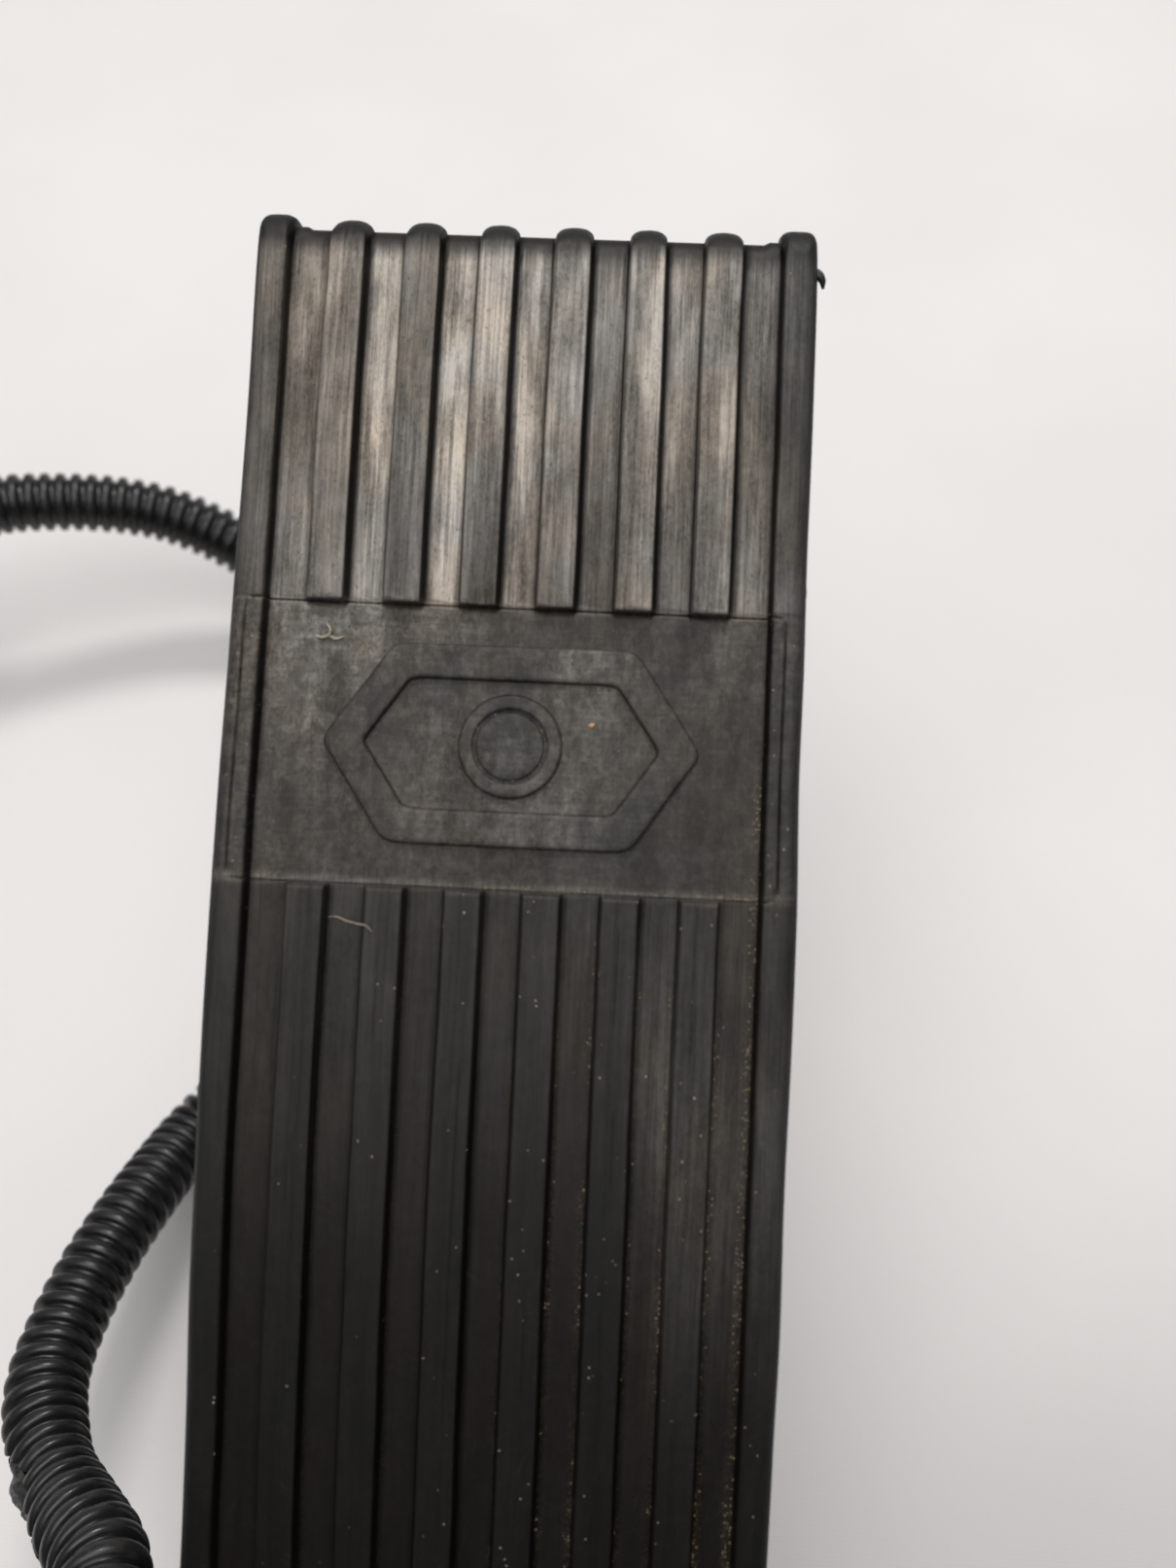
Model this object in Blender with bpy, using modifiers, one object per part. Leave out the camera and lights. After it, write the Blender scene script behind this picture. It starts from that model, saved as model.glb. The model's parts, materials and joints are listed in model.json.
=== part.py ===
"""Floor-mounted electronic accelerator treadle for a truck or bus, standing released.

Frame: +X to the driver's right, +Y from heel to toe, +Z up, origin on the
underside of the base, on the centre line.  Shapes are modelled in millimetres
and scaled to metres when each part is finished.

The treadle parts are drawn in a treadle frame (x, along, up) whose zero is the
heel hinge, then swung up to the treadle angle.  The lever has such a frame on
the lever shaft.
"""

import math

import bmesh
import bpy
import numpy as np
from mathutils import Matrix, Vector

MM = 0.001
GAP = 0.3  # running clearance between neighbouring solids

# ---- driving dimensions, mm ------------------------------------------------
HINGE = (-112.0, 28.0)  # heel hinge, y and z
IDLE = math.radians(27.0)  # treadle angle when released
TRAVEL = math.radians(17.0)  # treadle travel to full throttle
FULL = IDLE - TRAVEL
BEND = 0.105  # slight crown of the treadle, radians
BEND_FROM, BEND_TO = 110.0, 175.0  # where the crown starts and ends along the treadle

SHAFT = (58.0, 34.0)  # lever shaft, y and z
SHAFT_R = 5.0
SHAFT_BORE = SHAFT_R + GAP
ARM_LENGTH = 68.0
ARM_IDLE = math.radians(135.0)
ARM_RATIO = 2.4  # lever turn per treadle turn
ROLLER_R = 9.0
STOP_REACH, STOP_NOSE_R = 18.0, 4.0  # lever tail that meets the idle stop
COIL_R, COIL_WIRE_R = 11.0, 1.1  # return springs
BUMPER_ALONG = 55.0  # full-throttle stop, along the treadle from the hinge

HINGE_ORIGIN = (0.0, *HINGE)
SHAFT_ORIGIN = (0.0, *SHAFT)

# ---- scene and materials ---------------------------------------------------
for old in list(bpy.data.objects):
    bpy.data.objects.remove(old, do_unlink=True)
scene = bpy.context.scene
parts = bpy.data.collections.new("accelerator_treadle")
work = bpy.data.collections.new("construction")
scene.collection.children.link(parts)
scene.collection.children.link(work)


def material(name, colour, roughness, metallic=0.0):
    mat = bpy.data.materials.new(name)
    mat.use_nodes = True
    shader = mat.node_tree.nodes["Principled BSDF"]
    shader.inputs["Base Color"].default_value = (*colour, 1.0)
    shader.inputs["Roughness"].default_value = roughness
    shader.inputs["Metallic"].default_value = metallic
    mat.diffuse_color = (*colour, 1.0)
    return mat


RUBBER = material("black_rubber", colour=(0.030, 0.028, 0.027), roughness=0.6)
LOOM = material("black_loom", colour=(0.016, 0.016, 0.017), roughness=0.35)
CAST = material("cast_aluminium", colour=(0.42, 0.43, 0.44), roughness=0.5, metallic=0.9)
PAINTED = material(
    "black_coated_steel", colour=(0.035, 0.035, 0.038), roughness=0.45, metallic=0.3
)
ZINC = material("zinc_steel", colour=(0.62, 0.62, 0.60), roughness=0.35, metallic=1.0)
SPRING = material("spring_steel", colour=(0.36, 0.36, 0.38), roughness=0.3, metallic=1.0)
NYLON = material("natural_nylon", colour=(0.70, 0.67, 0.58), roughness=0.5)
PLASTIC = material("black_plastic", colour=(0.022, 0.022, 0.024), roughness=0.45)
BRONZE = material("bearing_bronze", colour=(0.55, 0.35, 0.16), roughness=0.35, metallic=1.0)
BOARD = material("board_green", colour=(0.03, 0.16, 0.07), roughness=0.4)
SEAL = material("seal_orange", colour=(0.62, 0.20, 0.04), roughness=0.5)
LOCK = material("lock_grey", colour=(0.50, 0.51, 0.50), roughness=0.5)
TAPE = material("cloth_tape", colour=(0.030, 0.030, 0.030), roughness=0.8)
WIRES = {
    label: material(f"wire_{label}", colour=colour, roughness=0.4)
    for label, colour in (
        ("red", (0.45, 0.03, 0.02)),
        ("white", (0.70, 0.70, 0.66)),
        ("blue", (0.03, 0.08, 0.30)),
    )
}


# ---- outlines and spans ------------------------------------------------------
def polar(centre, radius, angle):
    return centre[0] + radius * math.cos(angle), centre[1] + radius * math.sin(angle)


def circle(centre, radius, seg=24):
    return [polar(centre, radius, 2 * math.pi * i / seg) for i in range(seg)]


def hull(points):
    """Convex outline round a set of points, by the monotone chain method."""
    points = sorted({(round(p, 6), round(q, 6)) for p, q in points})

    def turns_left(first, second, third):
        rise = (second[0] - first[0]) * (third[1] - first[1])
        return rise - (second[1] - first[1]) * (third[0] - first[0]) > 0

    def half(ordered):
        out = []
        for point in ordered:
            while len(out) > 1 and not turns_left(out[-2], out[-1], point):
                out.pop()
            out.append(point)
        return out[:-1]

    return half(points) + half(points[::-1])


def reflected(points):
    """The points with their first coordinate negated, in reverse order."""
    return [(-p, q) for p, q in reversed(points)]


def about(centre, half):
    return centre - half, centre + half


def both_sides(low, high):
    """A span of x on the right and its twin on the left."""
    return (low, high), (-high, -low)


# ---- solids ------------------------------------------------------------------
def held(mesh):
    """A hidden helper object in the construction collection."""
    obj = bpy.data.objects.new("work", mesh)
    obj.hide_render = True
    obj.display_type = "WIRE"
    work.objects.link(obj)
    return obj


def from_cage(cage):
    mesh = bpy.data.meshes.new("work")
    cage.to_mesh(mesh)
    cage.free()
    return held(mesh)


def tidy(mesh, weld=0.0):
    """Welds vertices closer than weld and turns the faces outward."""
    cage = bmesh.new()
    cage.from_mesh(mesh)
    if weld:
        bmesh.ops.remove_doubles(cage, verts=cage.verts, dist=weld)
    bmesh.ops.recalc_face_normals(cage, faces=cage.faces)
    cage.to_mesh(mesh)
    cage.free()


def baked(obj, weld=1e-5):
    """The object's evaluated shape as a plain mesh object; the old one goes."""
    bpy.context.view_layer.update()
    graph = bpy.context.evaluated_depsgraph_get()
    mesh = bpy.data.meshes.new_from_object(obj.evaluated_get(graph))
    mesh.transform(obj.matrix_world)
    tidy(mesh, weld)
    bpy.data.objects.remove(obj, do_unlink=True)
    return held(mesh)


def axis_frame(axis, at, along=0.0):
    """Takes local +Z to an axis letter; at is the axis's other two coordinates."""
    centre = {"X": (along, *at), "Y": (at[0], along, at[1]), "Z": (*at, along)}[axis]
    turn = {
        "X": Matrix.Rotation(math.pi / 2, 4, "Y"),
        "Y": Matrix.Rotation(-math.pi / 2, 4, "X"),
        "Z": Matrix.Identity(4),
    }[axis]
    return Matrix.Translation(centre) @ turn


def cylinder(radius, length, seg, frame):
    cage = bmesh.new()
    bmesh.ops.create_cone(
        cage, cap_ends=True, cap_tris=False, segments=seg, radius1=radius, radius2=radius, depth=length
    )
    bmesh.ops.transform(cage, matrix=frame, verts=cage.verts)
    return from_cage(cage)


def rod(axis, at, low, high, radius, seg=24):
    """A cylinder along an axis from low to high."""
    return cylinder(radius, high - low, seg, axis_frame(axis, at, (low + high) / 2))


def angled_rod(origin, direction, low, high, radius, seg=24):
    """A cylinder from low to high along a direction through the origin point."""
    start, end = origin + low * direction, origin + high * direction
    turn = (end - start).to_track_quat("Z", "Y").to_matrix().to_4x4()
    frame = Matrix.Translation((start + end) / 2) @ turn
    return cylinder(radius, (end - start).length, seg, frame)


def block(x, y, z, bevel=0.0):
    cage = bmesh.new()
    bmesh.ops.create_cube(cage, size=1.0)
    size = Matrix.Diagonal((x[1] - x[0], y[1] - y[0], z[1] - z[0], 1.0))
    middle = Matrix.Translation([(low + high) / 2 for low, high in (x, y, z)])
    bmesh.ops.transform(cage, matrix=middle @ size, verts=cage.verts)
    if bevel:
        bmesh.ops.bevel(
            cage, geom=cage.edges[:], offset=bevel, segments=2, affect="EDGES", profile=0.5
        )
    return from_cage(cage)


def poly_curve(points, dimensions):
    """A curve object through (x, y, z) points, with its spline."""
    curve = bpy.data.curves.new("curve", "CURVE")
    curve.dimensions = dimensions
    spline = curve.splines.new("POLY")
    spline.points.add(len(points) - 1)
    for point, place in zip(spline.points, points):
        point.co = (*[float(value) for value in place], 1.0)
    obj = bpy.data.objects.new("curve", curve)
    work.objects.link(obj)
    return obj, curve, spline


def slab(outline, low, high, across="X"):
    """A flat outline with thickness: (y, z) points run across X, (x, y) points across Z."""
    obj, curve, spline = poly_curve([(p, q, 0.0) for p, q in outline], "2D")
    curve.fill_mode = "BOTH"
    curve.extrude = (high - low) / 2
    spline.use_cyclic_u = True
    middle = (low + high) / 2
    if across == "X":
        obj.matrix_world = Matrix(((0, 0, 1, middle), (1, 0, 0, 0), (0, 1, 0, 0), (0, 0, 0, 1)))
    else:
        obj.matrix_world = Matrix.Translation((0, 0, middle))
    return baked(obj)


def round_wire(points, radius, resolution, caps=True):
    """A curve object of round section through the points."""
    obj, curve, _ = poly_curve(points, "3D")
    curve.twist_mode = "MINIMUM"
    curve.bevel_depth = radius
    curve.bevel_resolution = resolution
    curve.use_fill_caps = caps
    return obj


def turned(profile, at, seg=24, axis="X"):
    """A profile of (along, radius) points turned about an axis; a ring's profile is closed."""
    cage = bmesh.new()
    verts = [cage.verts.new((radius, 0.0, along)) for along, radius in profile]
    for first, second in zip(verts, verts[1:]):
        cage.edges.new((first, second))
    if min(radius for _, radius in profile) > 0:
        cage.edges.new((verts[-1], verts[0]))
    obj = from_cage(cage)
    screw = obj.modifiers.new("turn", "SCREW")
    screw.axis = "Z"
    screw.angle = 2 * math.pi
    screw.steps = screw.render_steps = seg
    screw.use_merge_vertices = True
    screw.merge_threshold = 1e-5
    obj.matrix_world = axis_frame(axis, at)
    return baked(obj)


def ring(low, high, inner, outer, at, seg=24, axis="X"):
    return turned([(low, inner), (low, outer), (high, outer), (high, inner)], at, seg, axis)


def combined(body, other, how):
    mod = body.modifiers.new("cut", "BOOLEAN")
    mod.operation = how
    mod.object = other
    mod.solver = "EXACT"
    out = baked(body)
    bpy.data.objects.remove(other, do_unlink=True)
    return out


def join(body, *others):
    for other in others:
        body = combined(body, other, "UNION")
    return body


def cut(body, *others):
    for other in others:
        body = combined(body, other, "DIFFERENCE")
    return body


def snap_clip(low, high, inner, outer, at, half_slot, seg=24):
    """A retaining ring across X, open at the bottom."""
    slot = block((low - 1, high + 1), about(at[0], half_slot), (at[1] - outer - 2, at[1]))
    return cut(ring(low, high, inner, outer, at, seg), slot)


def swung(obj, angle, pivot):
    """Turns a shape drawn along +Y up by an angle about X and puts its zero on the pivot."""
    obj.data.transform(Matrix.Translation((0, *pivot)) @ Matrix.Rotation(angle, 4, "X"))
    return obj


def finish(name, obj, mat, origin=(0.0, 0.0, 0.0), round_piece=True):
    """Scales to metres, sets the origin and files the part under its name."""
    mesh = obj.data
    mesh.transform(Matrix.Translation([-c * MM for c in origin]) @ Matrix.Scale(MM, 4))
    obj.location = [c * MM for c in origin]
    obj.name = mesh.name = name
    obj.hide_render = False
    obj.display_type = "TEXTURED"
    work.objects.unlink(obj)
    parts.objects.link(obj)
    mesh.materials.clear()
    mesh.materials.append(mat)
    if round_piece:
        mesh.shade_smooth()
        mesh.set_sharp_from_angle(angle=math.radians(35))


def finish_pair(name, right, mat, origin):
    """Files a part of the right side and its reflection in the centre plane."""
    mesh = right.data.copy()
    mesh.transform(Matrix.Scale(-1, 4, (1, 0, 0)))
    tidy(mesh)
    finish(f"{name}_right", right, mat, origin)
    finish(f"{name}_left", held(mesh), mat, origin)


# ---- treadle and lever motion --------------------------------------------------
def bow(along):
    """Height of the crown: level, then a parabola, then a straight fall."""
    if along <= BEND_FROM:
        return 0.0
    if along <= BEND_TO:
        return -((along - BEND_FROM) ** 2) * BEND / (2 * (BEND_TO - BEND_FROM))
    return -BEND * (BEND_TO - BEND_FROM) / 2 - BEND * (along - BEND_TO)


def crowned(obj):
    """Bends a shape drawn flat in the treadle frame and lays it at the idle angle."""
    steps = 5
    cage = bmesh.new()
    cage.from_mesh(obj.data)
    for i in range(steps + 1):
        along = BEND_FROM + (BEND_TO - BEND_FROM) * i / steps
        geom = cage.verts[:] + cage.edges[:] + cage.faces[:]
        bmesh.ops.bisect_plane(
            cage, geom=geom, plane_co=(0, along, 0), plane_no=(0, 1, 0), dist=1e-5
        )
    bmesh.ops.triangulate(cage, faces=cage.faces)
    for vert in cage.verts:
        vert.co.z += bow(vert.co.y)
    cage.to_mesh(obj.data)
    cage.free()
    return swung(obj, IDLE, HINGE)


def roller_centre(angle):
    """Roller centre when the treadle stands at an angle."""
    return polar(SHAFT, ARM_LENGTH, ARM_IDLE + ARM_RATIO * (IDLE - angle))


def in_treadle(point, angle):
    """A (y, z) point as (along, up) in the treadle frame."""
    y, z = point[0] - HINGE[0], point[1] - HINGE[1]
    return (
        y * math.cos(angle) + z * math.sin(angle),
        -y * math.sin(angle) + z * math.cos(angle),
    )


def tangents(path):
    steps = np.gradient(path, axis=0)
    return steps / np.linalg.norm(steps, axis=1)[:, None]


# ---- treadle plate: a channel open below, with two hinge lugs --------------------
HEEL_END = -8.0  # of plate and pad, along the treadle
PLATE_TOE = 257.5
PLATE_HALF = 34.0
PLATE_WALL = 3.0
PLATE_CEILING, PLATE_TOP = 13.5, 17.5
LUG_X = (25.9, 29.9)
RIVETS_ALONG = (104.0, 131.0)
RIVET_HOLE_R = 2.0

shell = block(about(0, PLATE_HALF), (HEEL_END, PLATE_TOE), (5, PLATE_TOP))
channel = block(
    about(0, PLATE_HALF - PLATE_WALL), (HEEL_END - 5, PLATE_TOE + 5), (-5, PLATE_CEILING)
)
heel_relief = block((-40, 40), (HEEL_END - 5, 14), (-5, 13.2))
shell = cut(shell, channel, heel_relief)
lug = hull(circle((0, 0), 9.0) + [(-8, 15.0), (17, 15.0)])
shell = join(shell, *[slab(lug, *span) for span in both_sides(*LUG_X)])
shell = cut(shell, rod("X", (0, 0), -40, 40, 4.3))
for along in RIVETS_ALONG:
    shell = cut(shell, rod("Z", (0, along), 10, 20, RIVET_HOLE_R, seg=16))
finish("treadle_plate", crowned(shell), PAINTED, HINGE_ORIGIN)

# ---- treadle pad: ribbed rubber shoe over the plate --------------------------
PAD_TOE = 262.0
PAD_HALF = 38.0
GROOVE_UP, RIB_UP = 20.8, 22.7
RIB_PITCH, RIB_WIDTH = 10.2, 5.7
RIB_TAPER = 0.55
PANEL_ALONG = (173.0, 210.0)

# Right half of the cross-section, (x, up): round the plate's edge, then up the flank.
skirt = [(34.3, 17.8), (34.3, 4.7), (30, 4.7), (30, 2)]
flank = [(PAD_HALF, 2), (PAD_HALF, 20.9), (37.4, 22.3)]
flank += [(36.2, RIB_UP), (33.7, RIB_UP), (33.1, GROOVE_UP)]
ribs = []
for k in (2.5, 1.5, 0.5, -0.5, -1.5, -2.5):
    left, right = about(k * RIB_PITCH, RIB_WIDTH / 2)
    ribs += [(right, GROOVE_UP), (right - RIB_TAPER, RIB_UP)]
    ribs += [(left + RIB_TAPER, RIB_UP), (left, GROOVE_UP)]
section = reflected(skirt) + skirt + flank + ribs + reflected(flank)
pad = slab(section[::-1], HEEL_END, PAD_TOE, across="Z")
# Swapping y and z lays the section along the treadle but turns the faces inward.
pad.data.transform(Matrix(((1, 0, 0, 0), (0, 0, 1, 0), (0, 1, 0, 0), (0, 0, 0, 1))))
tidy(pad.data)
panel = block((-33.0, 33.0), PANEL_ALONG, (GROOVE_UP + 0.05, 30))
heel_relief = block((-34.0, 34.0), (-20, 14), (-5, 10))
pad = cut(pad, panel, heel_relief)
toe_wall = block((-37.0, 37.0), (258.3, 261.5), (3.0, 20.0))
# Raised hexagon on the smooth panel, (x, along).
badge = hull([(-25, 191.5), (25, 191.5), (-16, 204.8), (16, 204.8), (-16, 178.5), (16, 178.5)])
pad = join(pad, toe_wall, slab(badge, 19.0, GROOVE_UP + 0.85, across="Z"))
finish("treadle_pad", crowned(pad), RUBBER, HINGE_ORIGIN, round_piece=False)

# ---- cam strip under the plate and its rivets --------------------------------
# The strip's underside clears the roller's path, run one degree past each end of travel.
COUNTERBORE_UP = 9.2
swept = []
for i in range(15):
    angle = IDLE + math.radians(1.0) - (TRAVEL + math.radians(2.0)) * i / 14
    swept.append(in_treadle(roller_centre(angle), angle))
path = np.array(swept)
heading = tangents(path)
upward = np.stack([heading[:, 1], -heading[:, 0]], axis=1)
upward *= np.sign(upward[:, 1:2])
under = path + upward * (ROLLER_R + GAP)
stations = np.linspace(under[-1, 0], under[0, 0], 8)
top = [(along, PLATE_CEILING - GAP + bow(along)) for along in stations]
strip = slab([tuple(point) for point in under] + top, -7.5, 7.5)
for along in RIVETS_ALONG:
    hole = rod("Z", (0, along), -10, 20, RIVET_HOLE_R, seg=16)
    counterbore = rod("Z", (0, along), -10, COUNTERBORE_UP + bow(along), 3.9, seg=16)
    strip = cut(strip, hole, counterbore)
finish("cam_strip", swung(strip, IDLE, HINGE), NYLON, HINGE_ORIGIN)

for end, along in zip(("heel", "toe"), RIVETS_ALONG):
    head = COUNTERBORE_UP - GAP + bow(along)
    tip = 17.3 + bow(along + 2)
    profile = [(head - 1.4, 0), (head - 1.4, 2.6), (head, 3.5)]
    profile += [(head, 1.7), (tip, 1.7), (tip, 0)]
    rivet = turned(profile, (0, along), 16, "Z")
    finish(f"cam_rivet_{end}", swung(rivet, IDLE, HINGE), ZINC, HINGE_ORIGIN)

# ---- heel hinge: pin, clips in its end grooves, flanged bushes --------------------
GROOVE_X = (LUG_X[1], 31.5)
pin_half = [(GROOVE_X[0], 4), (GROOVE_X[0], 3.3), (GROOVE_X[1], 3.3), (GROOVE_X[1], 4)]
pin_half += [(32.4, 4), (33, 3.4), (33, 0)]
pin = turned(reflected(pin_half) + pin_half, HINGE, 16)
finish("heel_hinge_pin", pin, ZINC, HINGE_ORIGIN)
clip = snap_clip(GROOVE_X[0] + GAP, GROOVE_X[1] - GAP, 3.6, 6.5, HINGE, half_slot=2.2)
finish_pair("heel_pin_clip", clip, SPRING, HINGE_ORIGIN)
profile = [(17.9, 4.35), (17.9, 6.0), (24.3, 6.0), (24.3, 8.0), (25.5, 8.0), (25.5, 4.35)]
finish_pair("heel_bush", turned(profile, HINGE), BRONZE, HINGE_ORIGIN)

# ---- base casting --------------------------------------------------------------
STOP_Y, STOP_Z = polar(SHAFT, STOP_REACH, ARM_IDLE - math.pi)
STOP_HOLE_R = 2.8
BUMPER_STEM_R = 3.0
EARS = [polar(SHAFT, 25, math.radians(degrees)) for degrees in (158, 22)]  # heel, toe
EAR_HOLE_R = 2.3


def rounded(x, y, radius, seg):
    """A rectangle with rounded corners."""
    corners = [(cx, cy) for cx in (x[0] + radius, x[1] - radius)
               for cy in (y[0] + radius, y[1] - radius)]
    return hull([point for corner in corners for point in circle(corner, radius, seg)])


base = slab(rounded((-46, 46), (-128, 102), 12, 16), 0, 6, across="Z")
hinge_foot = hull(circle(HINGE, 9.0) + [(-127, 3), (-94, 3)])
base = join(base, *[slab(hinge_foot, *span) for span in both_sides(18, 24)])
cheek = [point for y in about(SHAFT[0], 24) for point in circle((y, 42.5), 6.0, 16)]
cheek = hull(cheek + [(y, 3) for y in about(SHAFT[0], 32)])
base = join(base, *[slab(cheek, *span) for span in both_sides(26, 32)])
# A ledge inside each cheek, under the fixed leg of the spring.
ledge_top = SHAFT[1] - COIL_R - COIL_WIRE_R - GAP
base = join(base, *[block(span, (31, 40), (3, ledge_top)) for span in both_sides(21.6, 27)])
base = join(base, block((-4, 4), (-80, 30), (4, 12)))  # centre rib
# The bumper post stands square to the treadle at full throttle.
post = swung(rod("Z", (0, BUMPER_ALONG), -40, 4.7, 10.0), FULL, HINGE)
base = join(base, cut(post, block((-40, 40), (-150, 100), (-60, 2.5))))
stem_hole = rod("Z", (0, BUMPER_ALONG), -6, 12, BUMPER_STEM_R + GAP, seg=16)
base = cut(base, swung(stem_hole, FULL, HINGE))
base = join(base, rod("Z", (0, STOP_Y), 3, 10, 7.0))
base = cut(base, rod("Z", (0, STOP_Y), -5, 20, STOP_HOLE_R, seg=16))
base = cut(base, rod("X", HINGE, -40, 40, 6.3), rod("X", SHAFT, -40, 40, 7.3))
for x, y in ((-38, -98), (38, -98), (-38, 91), (38, 91)):  # mounting holes
    base = cut(base, rod("Z", (x, y), -5, 10, 4.3, seg=20))
for ear in EARS:
    base = cut(base, rod("X", ear, -40, -20, EAR_HOLE_R, seg=16))
finish("base_casting", base, CAST, round_piece=False)

# ---- full-throttle bumper ------------------------------------------------------
BUMPER_ORIGIN = (0, -60.0, 45.0)
profile = [(-3.0, 0), (-3.0, BUMPER_STEM_R), (5.0, BUMPER_STEM_R), (5.0, 7.5)]
profile += [(12.2, 7.5), (13.2, 6.5), (13.2, 0)]
bumper = turned(profile, (0, BUMPER_ALONG), 24, "Z")
finish("full_stop_bumper", swung(bumper, FULL, HINGE), RUBBER, BUMPER_ORIGIN)

# ---- idle stop: screw under the lever's tail, with a lock nut -----------------------
tip = STOP_Z - STOP_NOSE_R - GAP
profile = [(2, 0), (2, 2.5), (tip - 0.8, 2.5), (tip, 1.7), (tip, 0)]
finish("idle_stop_screw", turned(profile, (0, STOP_Y), 16, "Z"), ZINC)
nut = rod("Z", (0, STOP_Y), 10.3, 13.8, 4.8, seg=6)
nut = cut(nut, rod("Z", (0, STOP_Y), 5, 20, STOP_HOLE_R, seg=16))
finish("idle_stop_nut", nut, ZINC, round_piece=False)

# ---- lever shaft, bushes and end retention ---------------------------------------
profile = [(-40, 0), (-40, SHAFT_R), (34.7, SHAFT_R), (34.7, 4.3), (36.3, 4.3)]
profile += [(36.3, SHAFT_R), (37.0, SHAFT_R), (37.5, 4.5), (37.5, 0)]
finish("lever_shaft", turned(profile, SHAFT), ZINC, SHAFT_ORIGIN)
finish("shaft_bush_left", ring(-31.9, -26, SHAFT_BORE, 7.0, SHAFT), BRONZE, SHAFT_ORIGIN)
profile = [(26, SHAFT_BORE), (26, 7.0), (32.3, 7.0), (32.3, 9.5), (33.8, 9.5)]
profile += [(33.8, SHAFT_BORE)]
finish("shaft_bush_right", turned(profile, SHAFT), BRONZE, SHAFT_ORIGIN)
clip = snap_clip(35.0, 36.0, 4.65, 7.2, SHAFT, half_slot=2.2)
finish("shaft_retaining_ring", clip, SPRING, SHAFT_ORIGIN)
finish("thrust_washer", ring(34.1, 34.6, SHAFT_BORE, 8.6, SHAFT), SPRING, SHAFT_ORIGIN)

# ---- roller lever, drawn along +Y from the shaft ------------------------------------
lever = rod("X", (0, 0), -14, 14, 9.0)
arm = hull(circle((0, 0), 8.0) + circle((ARM_LENGTH, 0), 6.5))
lever = join(lever, *[slab(arm, *span) for span in both_sides(8.5, 12.5)])
web = block((-9.5, 9.5), (6, 38), (-4, 4))
tail = slab(hull(circle((0, 0), 5.0) + circle((-STOP_REACH, 0), STOP_NOSE_R)), -6, 6)
lever = join(lever, web, tail)
lever = cut(
    lever,
    rod("X", (0, 0), -20, 20, SHAFT_BORE),
    rod("X", (ARM_LENGTH, 0), -20, 20, 3.3, seg=16),
    rod("Z", (0, 0), 0, 12, 2.3, seg=12),  # set screw hole
)
finish("roller_lever", swung(lever, ARM_IDLE, SHAFT), CAST, SHAFT_ORIGIN, round_piece=False)
screw = rod("Z", (0, 0), 5.4, 8.6, 2.0, seg=12)
screw = cut(screw, rod("Z", (0, 0), 7.4, 10, 1.1, seg=6))
finish("lever_set_screw", swung(screw, ARM_IDLE, SHAFT), ZINC, SHAFT_ORIGIN)

# ---- cam roller and its headed pin --------------------------------------------------
ROLLER = roller_centre(IDLE)
ROLLER_ORIGIN = (0.0, *ROLLER)
profile = [(-14.6, 0), (-14.6, 3.0), (-14.0, 3.0), (-14.0, 2.3), (-12.8, 2.3), (-12.8, 3.0)]
profile += [(12.8, 3.0), (12.8, 4.8), (14.2, 4.8), (14.6, 4.2), (14.6, 0)]
finish("roller_pin", turned(profile, ROLLER, 20), ZINC, ROLLER_ORIGIN)
clip = snap_clip(-13.8, -13.0, 2.6, 5.0, ROLLER, half_slot=1.7, seg=16)
finish("roller_pin_clip", clip, SPRING, ROLLER_ORIGIN)
wheel_half = [(6, ROLLER_R), (7, 7.9), (7, 3.35)]
wheel = turned(reflected(wheel_half) + wheel_half, ROLLER, 32)
finish("cam_roller", wheel, NYLON, ROLLER_ORIGIN)

# ---- return springs and their guides ----------------------------------------------
COIL_TURNS = 3.375
COIL_STEPS = 48
COIL_OUTER_X, COIL_INNER_X = 24.0, 15.5
# Moving leg in the lever frame: x, along, up.
MOVING_LEG = [
    (15.5, 4, -10.9), (15.5, 8, -9.2), (15.5, 28, 7.0),
    (15.5, 31.0, 8.7), (14.2, 32, 8.9), (9.5, 32, 8.9),
]


def return_spring(side):
    """Fixed leg, coil and moving leg; side is 1 on the right and -1 on the left."""
    points = [(COIL_OUTER_X * side, 34.5, SHAFT[1] - COIL_R)]
    for i in range(COIL_STEPS + 1):
        done = i / COIL_STEPS
        x = COIL_OUTER_X - (COIL_OUTER_X - COIL_INNER_X) * done
        angle = -math.pi / 2 + 2 * math.pi * COIL_TURNS * done
        points.append((x * side, *polar(SHAFT, COIL_R, angle)))
    cos, sin = math.cos(ARM_IDLE), math.sin(ARM_IDLE)
    for x, along, up in MOVING_LEG:
        y = SHAFT[0] + along * cos - up * sin
        z = SHAFT[1] + along * sin + up * cos
        points.append((x * side, y, z))
    return baked(round_wire(points, COIL_WIRE_R, 2), 1e-4)


guide = ring(14.4, 25.6, SHAFT_BORE, 8.3, SHAFT, 20)
finish_pair("spring_guide", guide, NYLON, SHAFT_ORIGIN)
finish("return_spring_right", return_spring(1), SPRING, SHAFT_ORIGIN)
finish("return_spring_left", return_spring(-1), SPRING, SHAFT_ORIGIN)

# ---- position sensor on the left cheek ---------------------------------------------
FACE_X = (-33.8, -32.3)  # gasket and seal, between housing and cheek
finish("sensor_gasket", ring(*FACE_X, 9.0, 16.0, SHAFT, 28), RUBBER)
finish("shaft_seal", ring(*FACE_X, 5.4, 8.6, SHAFT), RUBBER)

# Two outlets: one slants out and down towards the heel, one runs straight to the toe.
HEEL_OUTLET = Vector((-43.0, 47.5, 25.5))
HEEL_WAY = Vector((-0.55, -0.66, -0.51)).normalized()
TOE_OUTLET = (-43.0, 31.0)  # x and z
OUTLET_R, SOCKET_R, WIREWAY_R = 8.3, 7.1, 4.3

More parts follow.
